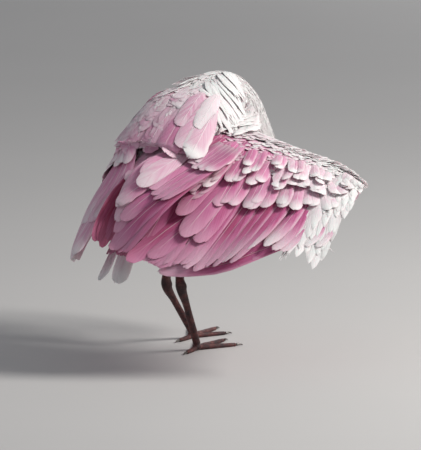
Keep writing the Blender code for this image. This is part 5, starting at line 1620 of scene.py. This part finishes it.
def makeBillMaterial():
    material, tree, shader = newMaterial("bill_horn")
    uv = addNode(tree, "ShaderNodeUVMap", uv_map="bill")
    split = addNode(tree, "ShaderNodeSeparateXYZ")
    tree.links.new(uv.outputs[0], split.inputs[0])
    across, along = split.outputs[0], split.outputs[1]
    place = addNode(tree, "ShaderNodeTexCoord").outputs["Object"]
    blotch = noise(tree, place, 140.0, 4.0, 0.6)
    fine = noise(tree, place, 700.0, 3.0, 0.6)
    wavy = mathNode(tree, "MULTIPLY_ADD", blotch, 0.06, along)
    ridge = mathNode(tree, "SINE", mathNode(tree, "MULTIPLY", wavy, bill["bands"] * 6.283))
    rings = mathNode(tree, "MULTIPLY", remap(tree, ridge, 0.2, 0.9), remap(tree, along, 0.60, 0.30))
    spots = remap(tree, mathNode(tree, "MULTIPLY_ADD", fine, 0.4, blotch), 0.68, 0.82)
    colour = mixColour(tree, remap(tree, blotch, 0.35, 0.65), (*bill["horn"], 1.0), (*bill["pale"], 1.0))
    colour = mixColour(tree, mathNode(tree, "MULTIPLY", rings, 0.75), colour, (*bill["dark"], 1.0))
    colour = mixColour(tree, mathNode(tree, "MULTIPLY", spots, 0.55), colour, (*bill["dark"], 1.0))
    centre = mathNode(tree, "ABSOLUTE", mathNode(tree, "SUBTRACT", across, 0.5))
    edge = mathNode(tree, "MULTIPLY", remap(tree, centre, 0.34, 0.46), 0.35)
    colour = mixColour(tree, edge, colour, (*bill["pale"], 1.0))
    tree.links.new(colour, shader.inputs["Base Color"])
    tree.links.new(remap(tree, fine, 0.3, 0.7, 0.50, 0.34), shader.inputs["Roughness"])
    lumps = addNode(tree, "ShaderNodeBump", in_Strength=0.6, in_Distance=0.0006)
    tree.links.new(mathNode(tree, "ADD", mathNode(tree, "MULTIPLY", rings, 0.6), fine), lumps.inputs["Height"])
    tree.links.new(lumps.outputs[0], shader.inputs["Normal"])
    shader.inputs["Specular IOR Level"].default_value = 0.45
    return material


def makeBill():
    horn = makeBillMaterial()
    root = headCentre + headAim * 0.0420 + headUp * -0.001  # a little inside the face
    stations = bill["stations"]
    for name, node, sign in (("upper_bill", "bill_upper", 1), ("lower_bill", "bill_lower", -1)):
        bm = bmesh.new()
        layer = bm.loops.layers.uv.new("bill")
        made = bmesh.ops.create_grid(bm, x_segments=40, y_segments=150, size=0.5)["verts"]
        for face in bm.faces:
            for loop in face.loops:
                loop[layer].uv = (loop.vert.co.x + 0.5, loop.vert.co.y + 0.5)
        u = np.array([v.co.x + 0.5 for v in made])
        v = np.array([v.co.y + 0.5 for v in made])
        here = curveAt(stations, v * (len(stations) - 1))
        depth = here[:, 2] if sign > 0 else here[:, 3]
        # the first half of the way round is the outside, the second the flat side that meets the other half
        outside = u <= 0.7
        a = np.where(outside, u / 0.7, (1 - u) / 0.3) * np.pi
        side = -np.cos(a)
        dome = np.where(outside, np.sqrt(np.clip(1 - np.abs(side) ** 2.4, 0, 1)), 0.015 * np.sqrt(np.clip(1 - side**2, 0, 1)))
        dist = here[:, 0]
        groove = np.exp(-((np.abs(side) - 0.72) / 0.06) ** 2) * smooth(0.010, 0.026, dist) * (outside)
        bowl = smooth(0.111, 0.141, dist)
        ridges = 0.05 * np.sin(dist * 980) * smooth(0.085, 0.02, dist) * outside
        ridgeSpoon = 0.10 * np.exp(-(side / 0.10) ** 2) * bowl * outside
        shape = dome * (1 - 0.22 * groove * (1 - 0.4 * bowl)) + (ridges + ridgeSpoon) * dome
        shape = shape * (1 - 0.30 * bowl * np.exp(-((np.abs(side) - 0.42) / 0.22) ** 2) * outside)
        nostril = np.exp(-((dist - 0.0165) / 0.0050) ** 2 - ((np.abs(side) - 0.34) / 0.07) ** 2) * outside if sign > 0 else 0.0
        shape = shape * (1 - 0.30 * nostril)
        hook = 0.0016 * smooth(0.166, 0.173, dist) if sign > 0 else 0.0
        shut = np.where(v > 0.998, 0.02, 1.0) * np.where(v < 0.002, 0.98, 1.0)
        p = (root + headAim * dist[:, None] + headLeft * (side * here[:, 1] * shut)[:, None]
             + headUp * (-here[:, 4] - hook + sign * (0.00006 + depth * shape * shut))[:, None])
        for vert, co in zip(made, p):
            vert.co = Vector(co + stance)
        bmesh.ops.remove_doubles(bm, verts=bm.verts, dist=2e-6)
        bmesh.ops.holes_fill(bm, edges=[e for e in bm.edges if e.is_boundary], sides=0)
        piece = meshFrom(bm, name)
        piece.data.shade_smooth()
        piece.data.set_sharp_from_angle(angle=math.radians(60))
        piece.data.materials.append(horn)
        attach(piece, "root")
        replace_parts(piece, node)
    print("bill made")


makeBill()


eyeLook = {"iris": (0.42, 0.012, 0.008), "irisDark": (0.13, 0.004, 0.004), "irisPale": (0.66, 0.05, 0.02), "pupil": (0.002, 0.002, 0.002),
           "irisSpan": 0.80, "pupilSpan": 0.40}


def makeEyes():
    material, tree, shader = newMaterial("red_eye")
    radial = attributeNode(tree, "radial")
    uv = addNode(tree, "ShaderNodeUVMap", uv_map="eye")
    fibres = noise(tree, uv.outputs[0], 26.0, 3.0, 0.6)
    iris = colourRamp(tree, mathNode(tree, "MULTIPLY_ADD", fibres, 0.5, radial), [
        (0.45, eyeLook["irisDark"]), (0.66, eyeLook["iris"]), (0.86, eyeLook["irisPale"]), (1.0, eyeLook["iris"])])
    colour = mixColour(tree, remap(tree, radial, eyeLook["pupilSpan"] + 0.03, eyeLook["pupilSpan"] - 0.03), iris, (*eyeLook["pupil"], 1.0))
    colour = mixColour(tree, remap(tree, radial, eyeLook["irisSpan"], eyeLook["irisSpan"] + 0.12), colour, (0.03, 0.015, 0.012, 1.0))
    tree.links.new(colour, shader.inputs["Base Color"])
    shader.inputs["Roughness"].default_value = 0.04
    shader.inputs["Coat Weight"].default_value = 1.0
    shader.inputs["Coat Roughness"].default_value = 0.02
    for name, node, eye, s in (("left_eye", "eye_left", eyePlaces[0], 1), ("right_eye", "eye_right", eyePlaces[1], -1)):
        axis = unit(headLeft * s * 0.93 + headAim * 0.30 + headUp * 0.08)
        bm = bmesh.new()
        layer = bm.loops.layers.uv.new("eye")
        amount = bm.verts.layers.float.new("radial")
        made = bmesh.ops.create_uvsphere(bm, u_segments=40, v_segments=40, radius=headLines["eyeRadius"])["verts"]
        turn = Vector((0, 0, 1)).rotation_difference(Vector(axis)).to_matrix().to_4x4()
        radialOf = {}
        uvOf = {}
        for vert in made:
            theta = math.acos(max(-1.0, min(1.0, vert.co.z / headLines["eyeRadius"])))
            round_ = math.atan2(vert.co.y, vert.co.x)
            radialOf[vert] = theta / math.radians(62)
            uvOf[vert] = (math.cos(round_) * theta * 0.16 + 0.5, math.sin(round_) * theta * 0.16 + 0.5)
            vert.co.z += 0.00045 * math.exp(-(theta / 0.55) ** 2)
        for vert in made:
            vert[amount] = radialOf[vert]
        for face in bm.faces:
            for loop in face.loops:
                loop[layer].uv = uvOf[loop.vert]
        bmesh.ops.transform(bm, matrix=Matrix.Translation(Vector(eye + stance)) @ turn, verts=bm.verts)
        piece = meshFrom(bm, name)
        piece.data.shade_smooth()
        piece.data.materials.append(material)
        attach(piece, "root")
        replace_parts(piece, node)
    print("eyes made")


makeEyes()


def finishClaws():
    material, tree, shader = newMaterial("claw_horn")
    place = addNode(tree, "ShaderNodeTexCoord").outputs["Object"]
    grain = noise(tree, place, 500.0, 3.0, 0.6)
    tree.links.new(colourRamp(tree, grain, [(0.3, (0.020, 0.015, 0.014)), (0.7, (0.085, 0.055, 0.045))]), shader.inputs["Base Color"])
    tree.links.new(remap(tree, grain, 0.3, 0.7, 0.45, 0.28), shader.inputs["Roughness"])
    lumps = addNode(tree, "ShaderNodeBump", in_Strength=0.3, in_Distance=0.0003)
    tree.links.new(grain, lumps.inputs["Height"])
    tree.links.new(lumps.outputs[0], shader.inputs["Normal"])
    for name, node in nodes.items():
        if name.startswith("claw_"):
            for place in node.material_slots:
                place.material = material
            if not node.material_slots:
                node.data.materials.append(material)


finishClaws()


# floor, light and camera
studio = {"floorSize": 40.0, "floorColour": (0.50, 0.495, 0.49), "keyPower": 92.0, "fillPower": 7.0, "frontPower": 80.0,
          "world": 0.30}


def makeStage():
    bm = bmesh.new()
    bmesh.ops.create_grid(bm, x_segments=1, y_segments=1, size=studio["floorSize"])
    mesh = bpy.data.meshes.new("studio_floor")
    bm.to_mesh(mesh)
    bm.free()
    floor = bpy.data.objects.new("studio_floor", mesh)
    bpy.context.scene.collection.objects.link(floor)
    material, tree, shader = newMaterial("pale_floor")
    grain = noise(tree, addNode(tree, "ShaderNodeTexCoord").outputs["Object"], 3.0, 3.0)
    tone = mixColour(tree, grain, (*studio["floorColour"], 1.0), tuple(c * 0.96 for c in studio["floorColour"]) + (1.0,))
    tree.links.new(tone, shader.inputs["Base Color"])
    shader.inputs["Roughness"].default_value = 0.8
    floor.data.materials.append(material)


def addLamp(name, place, target, size, power, colour):
    data = bpy.data.lights.new(name, "AREA")
    data.shape = "DISK"
    data.size = size
    data.energy = power
    data.color = colour
    lamp = bpy.data.objects.new(name, data)
    lamp.location = place
    lamp.rotation_euler = (Vector(target) - Vector(place)).to_track_quat("-Z", "Y").to_euler()
    bpy.context.scene.collection.objects.link(lamp)


view = {"back": np.array((-0.853, -0.4924, 0.1736)), "right": np.array((0.5, -0.866, 0.0)), "up": np.array((0.1504, 0.0868, 0.985)),
        "distance": 7.5, "lens": 400.0, "pixel": 0.0015}
feetPixel, middlePixel = (193.0, 345.0), (210.5, 225.0)
target = (stance + view["right"] * (middlePixel[0] - feetPixel[0]) * view["pixel"]
          + view["up"] * (feetPixel[1] - middlePixel[1]) * view["pixel"])


def makeCamera():
    data = bpy.data.cameras.new("camera")
    data.lens = view["lens"]
    data.sensor_width = 36.0
    data.sensor_fit = "AUTO"
    data.clip_end = 50.0
    camera = bpy.data.objects.new("camera", data)
    camera.location = target + view["back"] * view["distance"]
    camera.rotation_euler = Matrix([[view[k][i] for k in ("right", "up", "back")] for i in range(3)]).to_euler()
    bpy.context.scene.collection.objects.link(camera)
    bpy.context.scene.camera = camera


makeStage()
makeCamera()
addLamp("key", target + view["right"] * 2.1 + view["up"] * 1.7 + view["back"] * 0.75, target, 1.0, studio["keyPower"], (1.0, 0.97, 0.93))
addLamp("fill", target - view["right"] * 2.0 + view["up"] * 0.6 + view["back"] * 1.6, target, 2.2, studio["fillPower"], (0.90, 0.93, 1.0))
addLamp("front", target + view["right"] * 2.0 + view["up"] * 1.6 - view["back"] * 6.0, target, 3.5, studio["frontPower"], (1.0, 0.98, 0.96))
world = bpy.data.worlds.new("studio_world")
world.use_nodes = True
world.node_tree.nodes["Background"].inputs[0].default_value = (0.93, 0.95, 1.0, 1.0)
world.node_tree.nodes["Background"].inputs[1].default_value = studio["world"]
bpy.context.scene.world = world
bpy.context.scene.view_settings.view_transform = "Standard"
